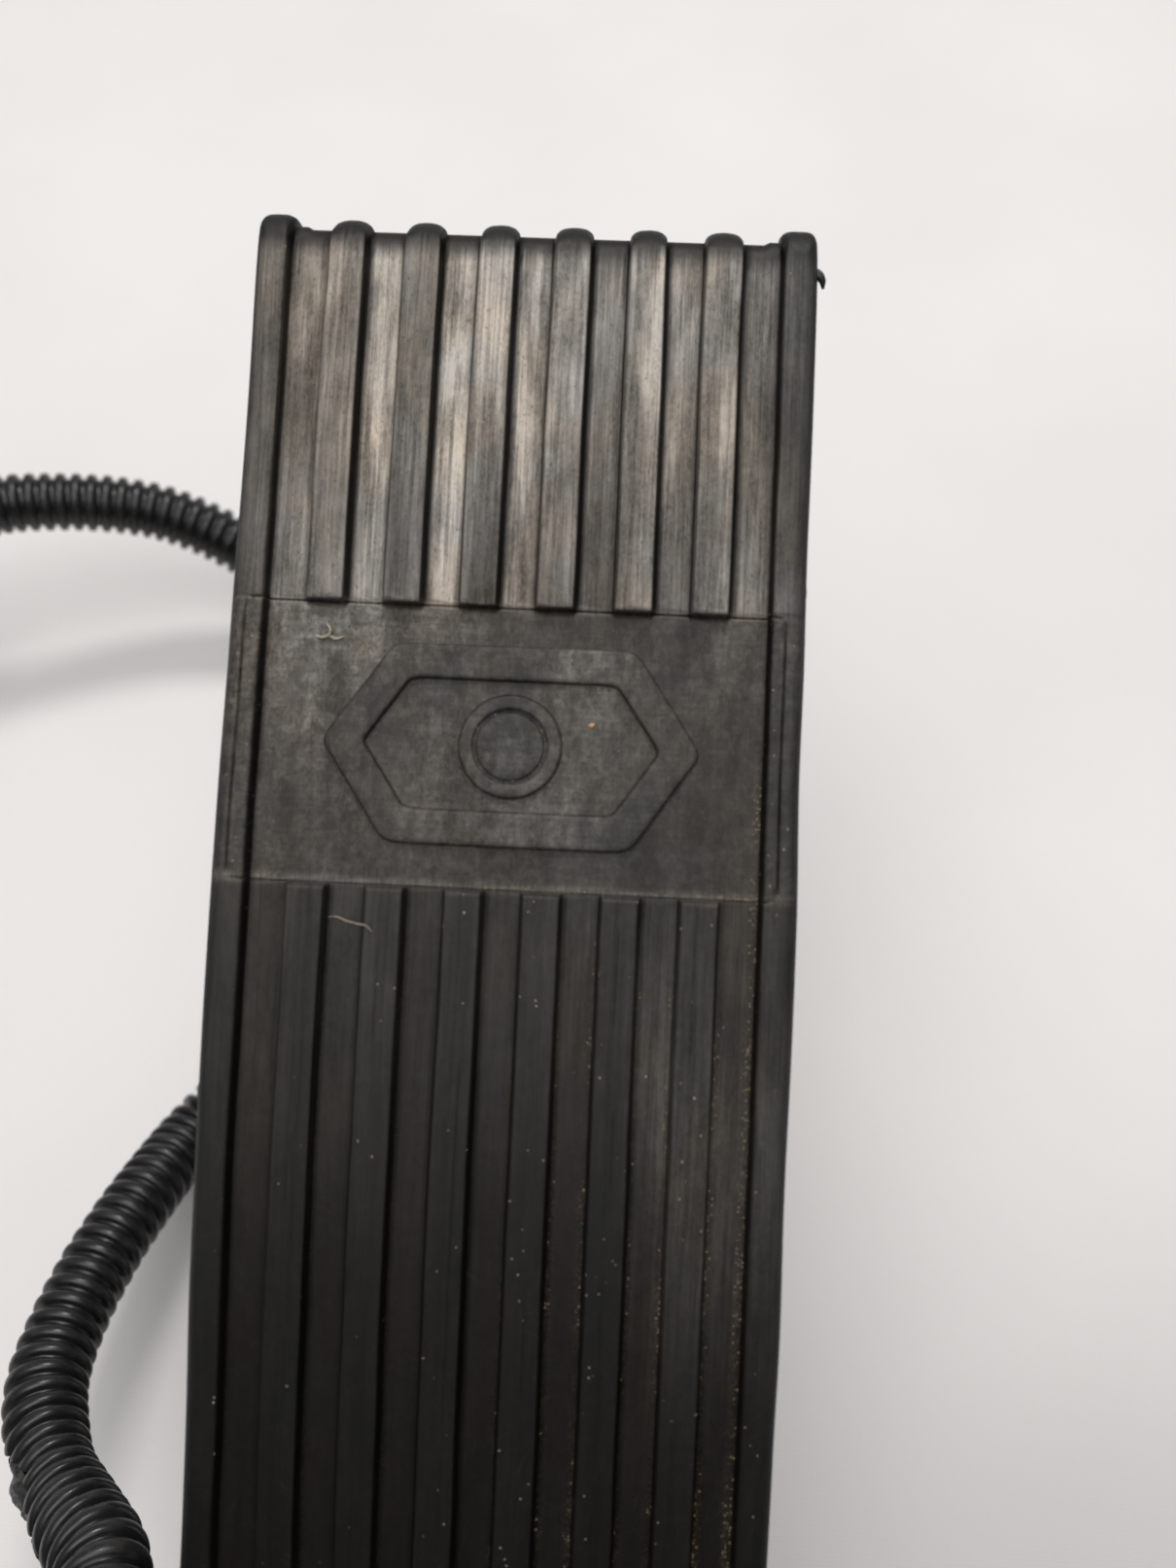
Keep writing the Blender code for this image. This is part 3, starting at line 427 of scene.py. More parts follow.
# ---------------------------------------------------------------- materials
def rubber_pad():
    """Black rubber under a streaked brown film that is part dust and part painted sheen, with painted
    shade on the rib walls and towards the heel, driven by the point attributes of the pad.
    """
    g = Material("worn_rubber")
    p = g.attribute("pad", "Vector")  # treadle coordinates, mm
    rib = g.attribute("rib")  # 1 on rib tops, 0 in the grooves
    film_and_sheen = g.attribute("film_and_sheen")
    dust = g.attribute("dust")
    scuff = g.attribute("scuff")
    side = g.attribute("side")  # 1 on the outer walls
    strip = g.attribute("strip")  # number of the rib or groove, shifts the patches

    # streaks along u, blotches, and an even rubbed look where the pad is scuffed
    fine = g.noise(p, (2.4, 0.045, 0.6), detail=4.0, rough=0.62)
    hair = g.noise(p, (7.0, 0.13, 1.0), detail=3.0, rough=0.62)
    offset = g.join(strip * 3.7, strip * 1.9, 0.0)
    patch_place = g.moved(g.scaled(p, (0.24, 0.042, 0.2)), offset)
    patch = g.noise(patch_place, detail=5.0, rough=0.62, distortion=0.3)
    cloud = g.noise(p, (0.07, 0.05, 0.07), detail=4.0, rough=0.55, distortion=0.6)
    mottle = g.noise(p, (0.62, 0.42, 0.7), detail=6.0, rough=0.68, distortion=0.4)
    grain = g.noise(p, (9.0, 9.0, 9.0), detail=2.0)
    cross = g.noise(p, (0.30, 1.9, 0.6), detail=4.0, rough=0.6, distortion=0.6)
    even = g.noise(p, (1.1, 0.8, 1.0), detail=6.0, rough=0.7, distortion=0.5)
    speckle = g.noise(p, (4.2, 1.6, 3.0), detail=2.0, rough=0.6)
    calm = scuff.ramp(0.3, 0.95)
    blots = patch.ramp(0.38, 0.62) * g.blend(calm, 0.80, 0.5)
    blots = blots + mottle.ramp(0.42, 0.60) * g.blend(calm, 0.20, 0.5)
    streaks = fine.ramp(0.40, 0.60) * 0.6 + hair.ramp(0.42, 0.62) * 0.4
    rubbed = even.ramp(0.38, 0.66) * 0.55 + cross.ramp(0.42, 0.66) * 0.30
    rubbed = rubbed + hair.ramp(0.42, 0.62) * 0.15
    streaks = g.blend(calm, streaks, rubbed)

    # the brown film over the black: part dust and scuffs, part painted sheen that brightens the toe and
    # the insert
    coat = streaks * 0.36 + blots * 0.42
    coat = coat + speckle.ramp(0.32, 0.68, to=(0.05, 0.27), linear=True)
    coat = g.blend(calm, coat, coat * 0.50)
    # painted sheen: the film's strength also stands in for the reflection that brightens the toe
    film = coat * film_and_sheen.ramp(0.0, 1.6, to=(0.012, 1.6), linear=True)
    pits = g.noise(p, (2.2, 1.7, 2.0), detail=3.0, rough=0.7).ramp(0.60, 0.72)
    pits = pits * film_and_sheen.ramp(0.1, 0.5)
    film = film * (1.0 - pits * 0.55)
    black = g.mix(rib, (0.0070, 0.0050, 0.0037), (0.0062, 0.0062, 0.0060))
    black = g.mix(mottle.ramp(0.35, 0.75, to=(0.0, 0.5)), black, (0.0125, 0.0110, 0.0096))
    # painted reflection: the outer walls get a lighter, bluer black standing in for their glossy
    # reflection
    black = g.mix(side, black, (0.0075, 0.0078, 0.0086))
    # painted shade: the black gets darker towards the heel, where fade falls to 0
    black = g.mix(1.0 - g.attribute("fade"), black, (0.0032, 0.0029, 0.0027))
    # painted shade: rib walls, badge walls and the foot of the raised border go near black
    black = g.mix(g.attribute("painted_flank_shade"), black, (0.0022, 0.0021, 0.0021))
    brown = g.mix(cloud.ramp(0.38, 0.62), (0.50, 0.425, 0.345), (0.41, 0.388, 0.355))
    color = g.mix(film, black, brown)

    # swirl marks and hair scratches, mostly on the flat insert
    straight = g.cell_edges(g.scaled(p, (0.16, 0.22, 0.2)))
    warp = g.noise(p, (0.12, 0.12, 0.12), detail=2.0, out="Color")
    swirled = g.cell_edges(g.moved(g.scaled(p, (0.35, 0.21, 0.3)), warp))
    straight_where = g.noise(p, (0.22, 0.31, 0.2), detail=2.0).ramp(0.52, 0.6)
    swirled_where = g.noise(p, (0.3, 0.2, 0.2), detail=2.0).ramp(0.5, 0.6)
    scratches = straight.ramp(0.010, 0.002) * straight_where
    scratches = scratches.max(swirled.ramp(0.012, 0.002) * swirled_where) * scuff
    color = g.mix(scratches * 0.35, color, (0.085, 0.076, 0.066))

    # tan grit in the groove feet
    distance, cell = g.cells(g.scaled(p, (2.6, 2.6, 2.6)))
    pick = g.split(cell)[0]
    dots = distance.ramp(0.40, 0.20) * (pick + dust * 1.0 > 1.14)
    grainy = g.noise(p, (3.4, 3.4, 3.4), detail=3.0, rough=0.7).ramp(0.46, 0.64)
    gritty = (dots * dust.ramp(0.03, 0.2)).max(grainy * (dust * 0.5))
    tan = g.mix(pick, (0.12, 0.080, 0.042), (0.31, 0.25, 0.165))
    color = g.mix(gritty * 0.8, color, tan)

    # a few large specks everywhere, and small motes where the attribute asks
    distance, cell = g.cells(g.scaled(p, (0.42, 0.30, 0.3)))
    specks = distance.ramp(0.055, 0.03) * (g.split(cell)[1] > 0.955)
    distance, cell = g.cells(g.scaled(p, (1.5, 1.5, 1.5)))
    clumps = g.noise(p, (0.3, 0.3, 0.3), detail=2.0, rough=0.6).ramp(0.35, 0.65, to=(0.25, 1.6))
    chosen = g.split(cell)[2] + g.attribute("motes") * 0.34 * clumps > 0.9965
    mote_size = g.split(cell)[1] * 0.7 + 0.35
    specks = specks.max((distance / mote_size).ramp(0.26, 0.14) * chosen * 0.9)
    speck_color = g.mix(g.split(cell)[0], (0.24, 0.17, 0.10), (0.46, 0.43, 0.37))
    color = g.mix(specks * 0.85, color, speck_color)

    gloss = streaks * blots * film_and_sheen
    rough = gloss.ramp(0.0, 0.6, to=(0.50, 0.30)) + even.ramp(0.3, 0.7, to=(-0.05, 0.06))
    rough = g.blend(gritty, rough, 0.9)
    height = grain * 0.35 + fine * 0.5 + hair * 0.35 - scratches * 0.5
    height = height + gritty * 0.8 + mottle * 0.7 - pits * 0.5
    spec = gloss.ramp(0.0, 0.6, to=(0.27, 1.0), linear=True)
    spec = spec * g.attribute("fade").ramp(0.0, 1.0, to=(0.22, 1.0), linear=True)
    spec = spec * (1.0 - g.attribute("painted_flank_shade") * 0.75)
    tint = g.mix(film_and_sheen, (1.0, 0.99, 0.98), (1.0, 0.90, 0.79))
    normal = g.bump(height, distance=0.00007, strength=0.85)
    return g.finish(color=color, rough=rough, normal=normal, spec=spec, spec_tint=tint)


def loom_plastic():
    """Scuffed black conduit with dust patches, with painted shade darkening it between its ridges."""
    g = Material("loom_plastic")
    p = g.millimetres()
    ridge = g.attribute("ridge")
    scuffs = g.noise(p, 0.35, detail=5.0, rough=0.65)
    fine = g.noise(p, 3.0, detail=3.0, rough=0.6)
    color = g.mix(scuffs.ramp(0.5, 0.75), (0.0105, 0.0105, 0.0112), (0.022, 0.0205, 0.019))
    # painted shade: the valleys between the ridges are darkened
    color = g.mix(ridge.ramp(0.35, 0.0) * 0.75, color, (0.006, 0.0055, 0.005))
    dust = fine.ramp(0.6, 0.75) * scuffs.ramp(0.45, 0.6)
    color = g.mix(dust * 0.25, color, (0.10, 0.085, 0.065))
    rough = scuffs.ramp(0.35, 0.7, to=(0.24, 0.40)) + fine * 0.06
    normal = g.bump(fine * 0.35 + scuffs, distance=0.00003, strength=0.5)
    return g.finish(color=color, rough=rough, normal=normal, spec=0.5)


def film_plastic():
    g = Material("crinkled_film")
    crease = g.noise(g.millimetres(), 0.9, detail=4.0, rough=0.6, distortion=0.8)
    color = g.mix(crease.ramp(0.45, 0.7), (0.011, 0.011, 0.011), (0.030, 0.029, 0.027))
    rough = crease.ramp(0.3, 0.7, to=(0.22, 0.42))
    return g.finish(color=color, rough=rough, normal=g.bump(crease, distance=0.0004, strength=0.8))


def tape_cloth():
    """Black woven tape wound in slanting laps."""
    g = Material("harness_tape")
    p = g.millimetres()
    x, y, z = g.split(p)
    weave = (y * 9.0).sin() * ((x + z) * 7.0).sin()
    lap = ((y + x * 0.35) * 0.145).fract()
    edge = lap.ramp(0.0, 0.06)
    fuzz = g.noise(p, 5.0, detail=3.0, rough=0.6)
    color = g.mix(weave.ramp(-0.8, 0.9), (0.014, 0.014, 0.014), (0.032, 0.031, 0.030))
    color = g.mix(fuzz.ramp(0.55, 0.75, to=(0.0, 0.5)), color, (0.055, 0.052, 0.047))
    color = g.mix(edge.ramp(1.0, 0.0), color, (0.006, 0.006, 0.006))
    normal = g.bump(weave * 0.35 + (edge + fuzz * 0.5), distance=0.00018, strength=0.9)
    return g.finish(color=color, rough=fuzz.ramp(0.3, 0.7, to=(0.72, 0.92)), normal=normal, sheen=0.25)


def plain_rubber(name, tone, rough):
    g = Material(name)
    p = g.millimetres()
    mottle = g.noise(p, 0.5, detail=5.0, rough=0.6)
    fine = g.noise(p, 7.0, detail=3.0, rough=0.6)
    dusty = shade(tone, by=2.2, lift=0.02)
    color = g.mix(mottle.ramp(0.42, 0.72, to=(0.0, 0.6)), tone, dusty)
    color = g.mix(g.edges(0.0005) * 0.45, color, dusty)
    rough = mottle.ramp(0.3, 0.7, to=(rough - 0.08, rough + 0.1))
    normal = g.bump(fine + mottle, distance=0.00009, strength=0.7)
    return g.finish(color=color, rough=rough, normal=normal)


def cast_metal():
    """Grainy grey casting, grimy in patches and brighter on its edges."""
    g = Material("sand_cast_aluminium")
    p = g.millimetres()
    skin = g.noise(p, 0.95, detail=6.0, rough=0.72)
    pits, _ = g.cells(p, 0.75)
    stain = g.noise(p, 0.045, detail=4.0, rough=0.6, distortion=0.5)
    fine = g.noise(p, 5.0, detail=3.0, rough=0.6)
    color = g.mix(stain.ramp(0.35, 0.68), (0.31, 0.31, 0.305), (0.46, 0.465, 0.47))
    color = g.mix(skin.ramp(0.35, 0.75, to=(0.0, 0.5)), color, (0.23, 0.225, 0.215))
    grime = stain.ramp(0.55, 0.38) * fine.ramp(0.45, 0.65)
    color = g.mix(grime * 0.55, color, (0.10, 0.085, 0.065))
    edge = g.edges(0.0008)
    color = g.mix(edge * 0.6, color, (0.68, 0.68, 0.67))
    rough = g.blend(edge, skin.ramp(0.3, 0.7, to=(0.46, 0.66)), 0.33)
    height = skin * 1.0 + pits.ramp(0.0, 0.35) * 0.35
    normal = g.bump(height, distance=0.00028, strength=0.8)
    return g.finish(color=color, rough=rough, metal=g.blend(grime, 0.92, 0.2), normal=normal)


def coated_steel():
    """Black coating chipped to rust and bare metal on edges and in spots."""
    g = Material("black_ecoat_steel")
    p = g.millimetres()
    ripple = g.noise(p, 1.6, detail=3.0)
    wear = g.noise(p, 0.22, detail=6.0, rough=0.7)
    edge = g.edges(0.0007) * wear.ramp(0.40, 0.56)
    chips = g.noise(p, 0.55, detail=5.0, rough=0.75) > 0.735
    bare = edge.max(chips)
    color = g.mix(wear.ramp(0.35, 0.7), (0.016, 0.016, 0.017), (0.033, 0.032, 0.031))
    rust = g.mix(ripple.ramp(0.4, 0.6), (0.22, 0.10, 0.045), (0.33, 0.31, 0.29))
    color = g.mix(bare * 0.9, color, rust)
    rough = g.blend(bare, wear.ramp(0.3, 0.7, to=(0.34, 0.52)), 0.6)
    normal = g.bump(ripple - bare, distance=0.00006, strength=0.7)
    return g.finish(color=color, rough=rough, metal=bare * 0.55, normal=normal)


def plated(name, low, high, rough, grain):
    """Bare or plated metal; grain is the noise scale on each axis."""
    g = Material(name)
    p = g.millimetres()
    grainy = g.noise(p, grain, detail=4.0, rough=0.6)
    stain = g.noise(p, 0.3, detail=4.0, rough=0.6)
    color = g.mix(grainy.ramp(0.3, 0.7), low, high)
    dull = stain.ramp(0.5, 0.72)
    color = g.mix(dull * 0.45, color, shade(low, by=0.45))
    rough = grainy.ramp(0.3, 0.7, to=rough) + dull * 0.16
    normal = g.bump(grainy, distance=0.00003, strength=0.7)
    return g.finish(color=color, rough=rough, metal=1.0, normal=normal)


def moulded(name, low, high, rough, texture, subsurface=0.0):
    """Moulded plastic; texture is the scale of its fine noise."""
    g = Material(name)
    p = g.millimetres()
    spark = g.noise(p, texture, detail=3.0, rough=0.6)
    drift = g.noise(p, 0.16, detail=4.0, rough=0.6)
    color = g.mix(drift.ramp(0.35, 0.68), low, high)
    color = g.mix(g.edges(0.0005) * 0.35, color, shade(high, by=1.5, lift=0.015))
    color = g.mix(spark.ramp(0.6, 0.8, to=(0.0, 0.35)), color, shade(low, by=0.6))
    rough = spark.ramp(0.3, 0.7, to=(rough - 0.07, rough + 0.08))
    rough = rough + drift.ramp(0.4, 0.7, to=(0.0, 0.06))
    normal = g.bump(spark + drift * 0.4, distance=0.00007, strength=0.7)
    return g.finish(color=color, rough=rough, normal=normal, subsurface=subsurface)


def board_green():
    """Green board with lighter tracks and round gold pads."""
    g = Material("circuit_board")
    p = g.millimetres()
    y = g.split(p)[1]
    tracks = (y * 3.1).sin() > 0.72
    tracks = tracks * (g.noise(p, (0.4, 0.4, 0.4), detail=1.0) > 0.5)
    color = g.mix(tracks, (0.010, 0.085, 0.040), (0.020, 0.16, 0.075))
    distance, _ = g.cells(p, 0.33)
    pads = distance < 0.16
    color = g.mix(pads, color, (0.75, 0.62, 0.34))
    normal = g.bump(tracks + pads, distance=0.00005)
    return g.finish(color=color, rough=g.blend(pads, 0.32, 0.25), metal=pads * 0.8, normal=normal)


def insulation(name, tone):
    g = Material(name)
    p = g.millimetres()
    drift = g.noise(p, 0.5, detail=4.0, rough=0.6)
    fine = g.noise(p, 6.0, detail=3.0, rough=0.6)
    color = g.mix(drift.ramp(0.35, 0.7), tone, shade(tone, by=0.6))
    color = g.mix(fine.ramp(0.6, 0.8, to=(0.0, 0.3)), color, shade(tone, by=0.5, lift=0.05))
    rough = drift.ramp(0.3, 0.7, to=(0.30, 0.44))
    return g.finish(color=color, rough=rough, normal=g.bump(fine, distance=0.00003))


def floor_cloth():
    """Pale cloth with a fine weave, under a painted shadow that darkens it towards low y and high x."""
    g = Material("pale_floor")
    p = g.millimetres()
    x, y, _ = g.split(p)
    threads = (x * 8.2).sin() + (y * 8.7).sin()
    nap = g.noise(p, 0.9, detail=4.0, rough=0.6)
    broad = g.noise(p, 0.008, detail=3.0)
    color = g.mix(broad.ramp(0.3, 0.7), (0.800, 0.777, 0.762), (0.845, 0.822, 0.805))
    color = g.mix(nap.ramp(0.5, 0.8, to=(0.0, 0.12)), color, (0.70, 0.68, 0.665))
    # painted shadow, darker towards low y and high x
    painted_shadow = y.ramp(45.0, -70.0, to=(0.0, 0.30)) * x.ramp(-20.0, 40.0)
    color = g.mix(painted_shadow, color, (0.0, 0.0, 0.0))
    normal = g.bump(threads * 0.25 + nap, distance=0.00006, strength=0.6)
    return g.finish(color=color, rough=0.9, normal=normal, spec=0.2)


MATERIALS = {
    "pad": rubber_pad(),
    "black_rubber": plain_rubber("bump_rubber", tone=(0.020, 0.019, 0.018), rough=0.66),
    "coated_steel": coated_steel(),
    "cast_aluminium": cast_metal(),
    "nylon": moulded(
        "natural_nylon", low=(0.56, 0.52, 0.42), high=(0.70, 0.67, 0.57),
        rough=0.42, texture=1.2, subsurface=0.08,
    ),
    "zinc_steel": plated(
        "zinc_plated_steel", low=(0.42, 0.42, 0.40), high=(0.68, 0.68, 0.66),
        rough=(0.24, 0.36), grain=(0.35, 3.2, 3.2),
    ),
    "spring_steel": plated(
        "oiled_spring_steel", low=(0.17, 0.17, 0.18), high=(0.34, 0.34, 0.36),
        rough=(0.22, 0.34), grain=(1.2, 1.2, 1.2),
    ),
    "bronze": plated(
        "sintered_bronze", low=(0.30, 0.17, 0.075), high=(0.55, 0.34, 0.16),
        rough=(0.36, 0.52), grain=(2.4, 2.4, 2.4),
    ),
    "black_plastic": moulded(
        "glass_filled_black", low=(0.016, 0.016, 0.017), high=(0.030, 0.030, 0.031),
        rough=0.50, texture=2.2,
    ),
    "grey_plastic": moulded(
        "grey_nylon", low=(0.36, 0.37, 0.37), high=(0.50, 0.51, 0.50), rough=0.45, texture=1.8
    ),
    "board": board_green(),
    "seal": plain_rubber("silicone_seal", tone=(0.50, 0.13, 0.02), rough=0.48),
    "flash": plain_rubber("rubber_flash", tone=(0.012, 0.012, 0.012), rough=0.5),
    "debris": plain_rubber("dry_debris", tone=(0.30, 0.25, 0.18), rough=0.7),
    "clay": plain_rubber("clay_speck", tone=(0.36, 0.20, 0.09), rough=0.8),
    "loom": loom_plastic(),
    "film": film_plastic(),
    "tape": tape_cloth(),
    "wire_red": insulation("wire_red", tone=(0.42, 0.020, 0.015)),
    "wire_white": insulation("wire_white", tone=(0.68, 0.67, 0.63)),
    "wire_blue": insulation("wire_blue", tone=(0.025, 0.06, 0.27)),
}


def dress(ob, key, slot=None):
    ob.data.materials.append(MATERIALS[key])


# ---------------------------------------------------------------- pad: sampling lines
ROLL_STEPS, WALL_STEPS, CORNER_STEPS = 8, 10, 8
ROLL = np.linspace(0, math.pi / 2, ROLL_STEPS + 1)
CORNER = np.linspace(0, math.pi / 2, CORNER_STEPS + 1)


def pad_columns():
    """x of the mesh columns, crowded at rib walls, scored lines and the border."""
    xs = []
    for rib, lines in RIB_LINES.items():
        for off in (2.05, 2.22, 2.32, 2.42, 2.52, 2.62, 2.72, 2.82, 2.94):
            xs += [rib - off, rib + off]
        xs += [rib - 1.7, rib - 1.2, rib + 1.2, rib + 1.7, rib]
        for line in lines:
            xs += [rib + line - 0.14, rib + line, rib + line + 0.14]
    for groove in GROOVES:
        xs += [groove + off for off in (-1.5, -0.9, -0.3, 0.3, 0.9, 1.5)]
    border = (29.4, 30.2, 31.0, 31.8, 32.5, 33.0, 33.1, 33.2, 33.3, 33.4, 33.5, 33.6, 33.72, 34.1, 34.6)
    for s in (-1, 1):
        xs += [s * x for x in border]
    for edge in SEAM_X:
        xs += [edge - 0.22, edge - 0.1, edge, edge + 0.1, edge + 0.22]
    kept = [-HALF_TOP]
    for x in sorted(x for x in xs if abs(x) < 36.05):
        if x - kept[-1] > 0.06:
            kept.append(x)
    return np.array(kept + [HALF_TOP])


def pad_rows():
    """u of the mesh rows, crowded at the heel and at both ends of the insert."""
    us = [-8, -7.8, -7.4, -6.8, -6.0, -5.0, -3.8]
    us += list(np.arange(-2.5, 171.0, 1.55))
    us += [171.4, 171.8, 172.1, 172.3, 172.5, 172.65, 172.78, 172.9, 173.0, 173.1, 173.25, 173.5]
    us += [174.0, 174.6, 175.4]
    us += list(np.arange(176.6, 208.0, 1.5))
    us += [208.2, 208.9, 209.4, 209.65, 209.78, 209.86, 209.94, 210.0, 210.05, 210.11, 210.2]
    us += [210.4, 210.8, 211.4, 212.2]
    us += list(np.arange(213.5, 258.4, 1.5)) + [PAD_END]
    return np.array(sorted(us))


COLUMNS, ROWS = pad_columns(), pad_rows()


# ---------------------------------------------------------------- pad: relief
def make_nicks():
    """Small dents as (x, u, half width, half length, depth), most along rib edges."""
    rng = np.random.RandomState(11)
    nicks = []
    for _ in range(46):
        edge = RIBS[rng.randint(6)] + (2.2 if rng.rand() < 0.5 else -2.2)
        x, u = edge + rng.uniform(-0.3, 0.3), rng.uniform(5, 258)
        nicks.append((x, u, rng.uniform(0.35, 0.8), rng.uniform(1.0, 3.2), rng.uniform(0.06, 0.26)))
    nicks.append((-4.4, 210.9, 1.1, 1.3, 0.55))
    nicks.append((-7.1, 211.6, 0.7, 2.0, 0.30))
    nicks.append((5.6, 211.0, 0.8, 1.0, 0.25))
    return nicks


NICKS = make_nicks()


def nearest_rib(x):
    """Distance to the nearest rib's centre line."""
    return np.min([np.abs(x - rib) for rib in RIBS], axis=0)


def seam_distance(x, u):
    """Distance to the rounded rectangle that outlines the insert."""
    def beyond(value, low, high):
        return np.abs(value - (low + high) / 2) - ((high - low) / 2 - SEAM_CORNER)

    dx, du = beyond(x, *SEAM_X), beyond(u, PANEL_LOW, PANEL_HIGH)
    outside = np.hypot(np.maximum(dx, 0), np.maximum(du, 0))
    return np.abs(outside + np.minimum(np.maximum(dx, du), 0) - SEAM_CORNER)


def rib_level(x, u):
    """1 on rib tops and the border, 0 in grooves and on the insert."""
    ribs = 1 - ease(nearest_rib(x), 2.25, 0.62)
    lower_end = np.sqrt(np.clip(1 - (np.maximum(u - 172.3, 0) / 0.6) ** 2, 0, 1))
    ends = np.where(u < 172.9, lower_end, ease(u, 209.97, 0.14))
    border = ease(np.abs(x), 33.1, 0.6)
    return np.where(np.abs(x) > 31.0, border, ribs * ends)


def pad_height(x, u):
    """Height against the rib tops."""
    level = rib_level(x, u)
    height = -RIB_DEPTH * (1 - level)
    for rib, lines in RIB_LINES.items():
        on_top = ease(np.abs(x - rib), 2.0, -0.3) * level
        for k, line in enumerate(lines):
            depth = 0.07 + 0.05 * value_noise(u / 23.0, rib + k, 31)
            height = height - on_top * depth * bell(x - rib, line, 0.11)
    inside = np.abs(x) < 33.2
    # the insert's upper line: a crack across, gaping under each rib end
    gape = 1 - ease(nearest_rib(x), 2.4, 0.8)
    crack = bell(u, 209.86, 0.10 + 0.10 * gape)
    height = height - np.where(inside, crack * (0.30 + 0.45 * gape), 0)
    # its lower line: a fine raised flash
    height = height + np.where(inside, 0.13 * bell(u, PANEL_LOW, 0.13), 0)
    height = height - np.where(inside, 0, 0.36 * bell(seam_distance(x, u), 0, 0.14))
    for nick_x, nick_u, half_x, half_u, depth in NICKS:
        dent = np.exp(-(((x - nick_x) / half_x) ** 2) - ((u - nick_u) / half_u) ** 2)
        height = height - depth * level * dent
    return height


def pad_shift(points):
    """Small unevenness of the moulding, a smooth function of place only."""
    x, u, n = points.T
    out = points.copy()
    top = ease(n, 19.0, 1.5)
    out[:, 0] += 0.22 * fbm(u / 26.0, x / 9.0 + 5, 41) * smooth((37.0 - np.abs(x)) / 2.0 + 0.25)
    side = ease(np.abs(x), 33.5, 3.0)
    out[:, 0] += side * np.sign(x) * 0.55 * fbm(u / 34.0, np.sign(x) * 3 + 7, 51, 2)
    out[:, 2] += top * (0.16 * fbm(x / 16.0, u / 30.0, 61) + 0.05 * fbm(x / 2.2, u / 9.0, 71))
    heel = np.clip((-5.2 - u) / 2.8, 0, 1)
    out[:, 2] -= 1.6 * (1 - np.sqrt(np.clip(1 - heel**2, 0, 1))) * ease(n, 17.5, 3.0)
    return out


def hexagon_distance(x, u):
    """How far outside the raised badge a place lies."""
    across, along = np.abs(x), np.abs(u - BADGE_U)
    taper = BADGE_POINT - BADGE_SHOULDER
    slanted = across * BADGE_HALF_U + along * taper - BADGE_POINT * BADGE_HALF_U
    return np.maximum(along - BADGE_HALF_U, slanted / math.hypot(BADGE_HALF_U, taper))


# ---------------------------------------------------------------- pad: finish attributes
# x, strength of the film and its painted sheen at the toe, and just above the insert
FILM_AND_SHEEN_STRIPS = np.array([
    (-36.5, 0.30, 0.30), (-34.2, 0.42, 0.42), (-33.2, 0.55, 0.60), (-30.2, 0.80, 1.05),
    (-28.4, 0.80, 1.05), (-27.6, 0.82, 0.75), (-23.4, 0.82, 0.75), (-22.6, 1.30, 1.15),
    (-18.2, 1.30, 1.15), (-17.4, 0.62, 0.50), (-13.2, 0.62, 0.50), (-12.4, 1.35, 1.15),
    (-8.0, 1.35, 1.15), (-7.2, 1.20, 0.48), (-3.0, 1.20, 0.48), (-2.2, 1.15, 1.05),
    (2.2, 1.15, 1.05), (3.0, 1.42, 0.80), (7.2, 1.42, 0.80), (8.0, 0.78, 0.62),
    (12.4, 0.78, 0.62), (13.2, 1.05, 0.85), (17.4, 1.05, 0.85), (18.2, 0.66, 0.55),
    (22.6, 0.66, 0.55), (23.4, 0.72, 0.70), (27.6, 0.72, 0.70), (28.4, 0.50, 0.55),
    (32.6, 0.46, 0.50), (33.4, 0.34, 0.40), (36.5, 0.22, 0.25),
])
# x, half width and strength of the dust lines at the groove feet
DUST_LINES = (
    (22.4, 0.42, 0.62), (28.4, 0.5, 0.5), (12.2, 0.5, 0.55), (8.2, 0.5, 0.35),
    (18.3, 0.5, 0.35), (2.1, 0.4, 0.2), (-12.3, 0.4, 0.15), (-22.5, 0.4, 0.12),
)


def film_and_painted_sheen(x, u, on_panel):
    """Strength of the brown film, part dust and part painted sheen, before edges and walls thin it."""
    lift = ease(u, 210.0, 45.0)
    strip_x, toe_film, insert_film = FILM_AND_SHEEN_STRIPS.T
    strip = np.interp(x, strip_x, toe_film) * lift + np.interp(x, strip_x, insert_film) * (1 - lift)
    above = ease(u, 209.0, 2.0)
    panel = 0.25 + 0.34 * ease(x, -4.0, -24.0) * ease(u, 178.0, 22.0)
    panel = panel + 0.15 * ease(u, 198.0, 10.0) * ease(x, 22.0, -16.0)
    below = 0.07 * ease(u, 120.0, 55.0) + 0.15 * ease(x, 16.5, 5.0) * bell(u, 141.0, 21.0)
    below = below * (1 - ease(u, 172.0, 1.5))
    film_and_sheen = above * strip * (0.80 + 0.20 * lift) + on_panel * (1 - above) * panel + below
    film_and_sheen = film_and_sheen * (0.88 + 0.7 * fbm(x / 9.0, u / 26.0, 81))
    return np.clip(film_and_sheen, 0, 1.6) * ease(u, 260.0, -3.6)


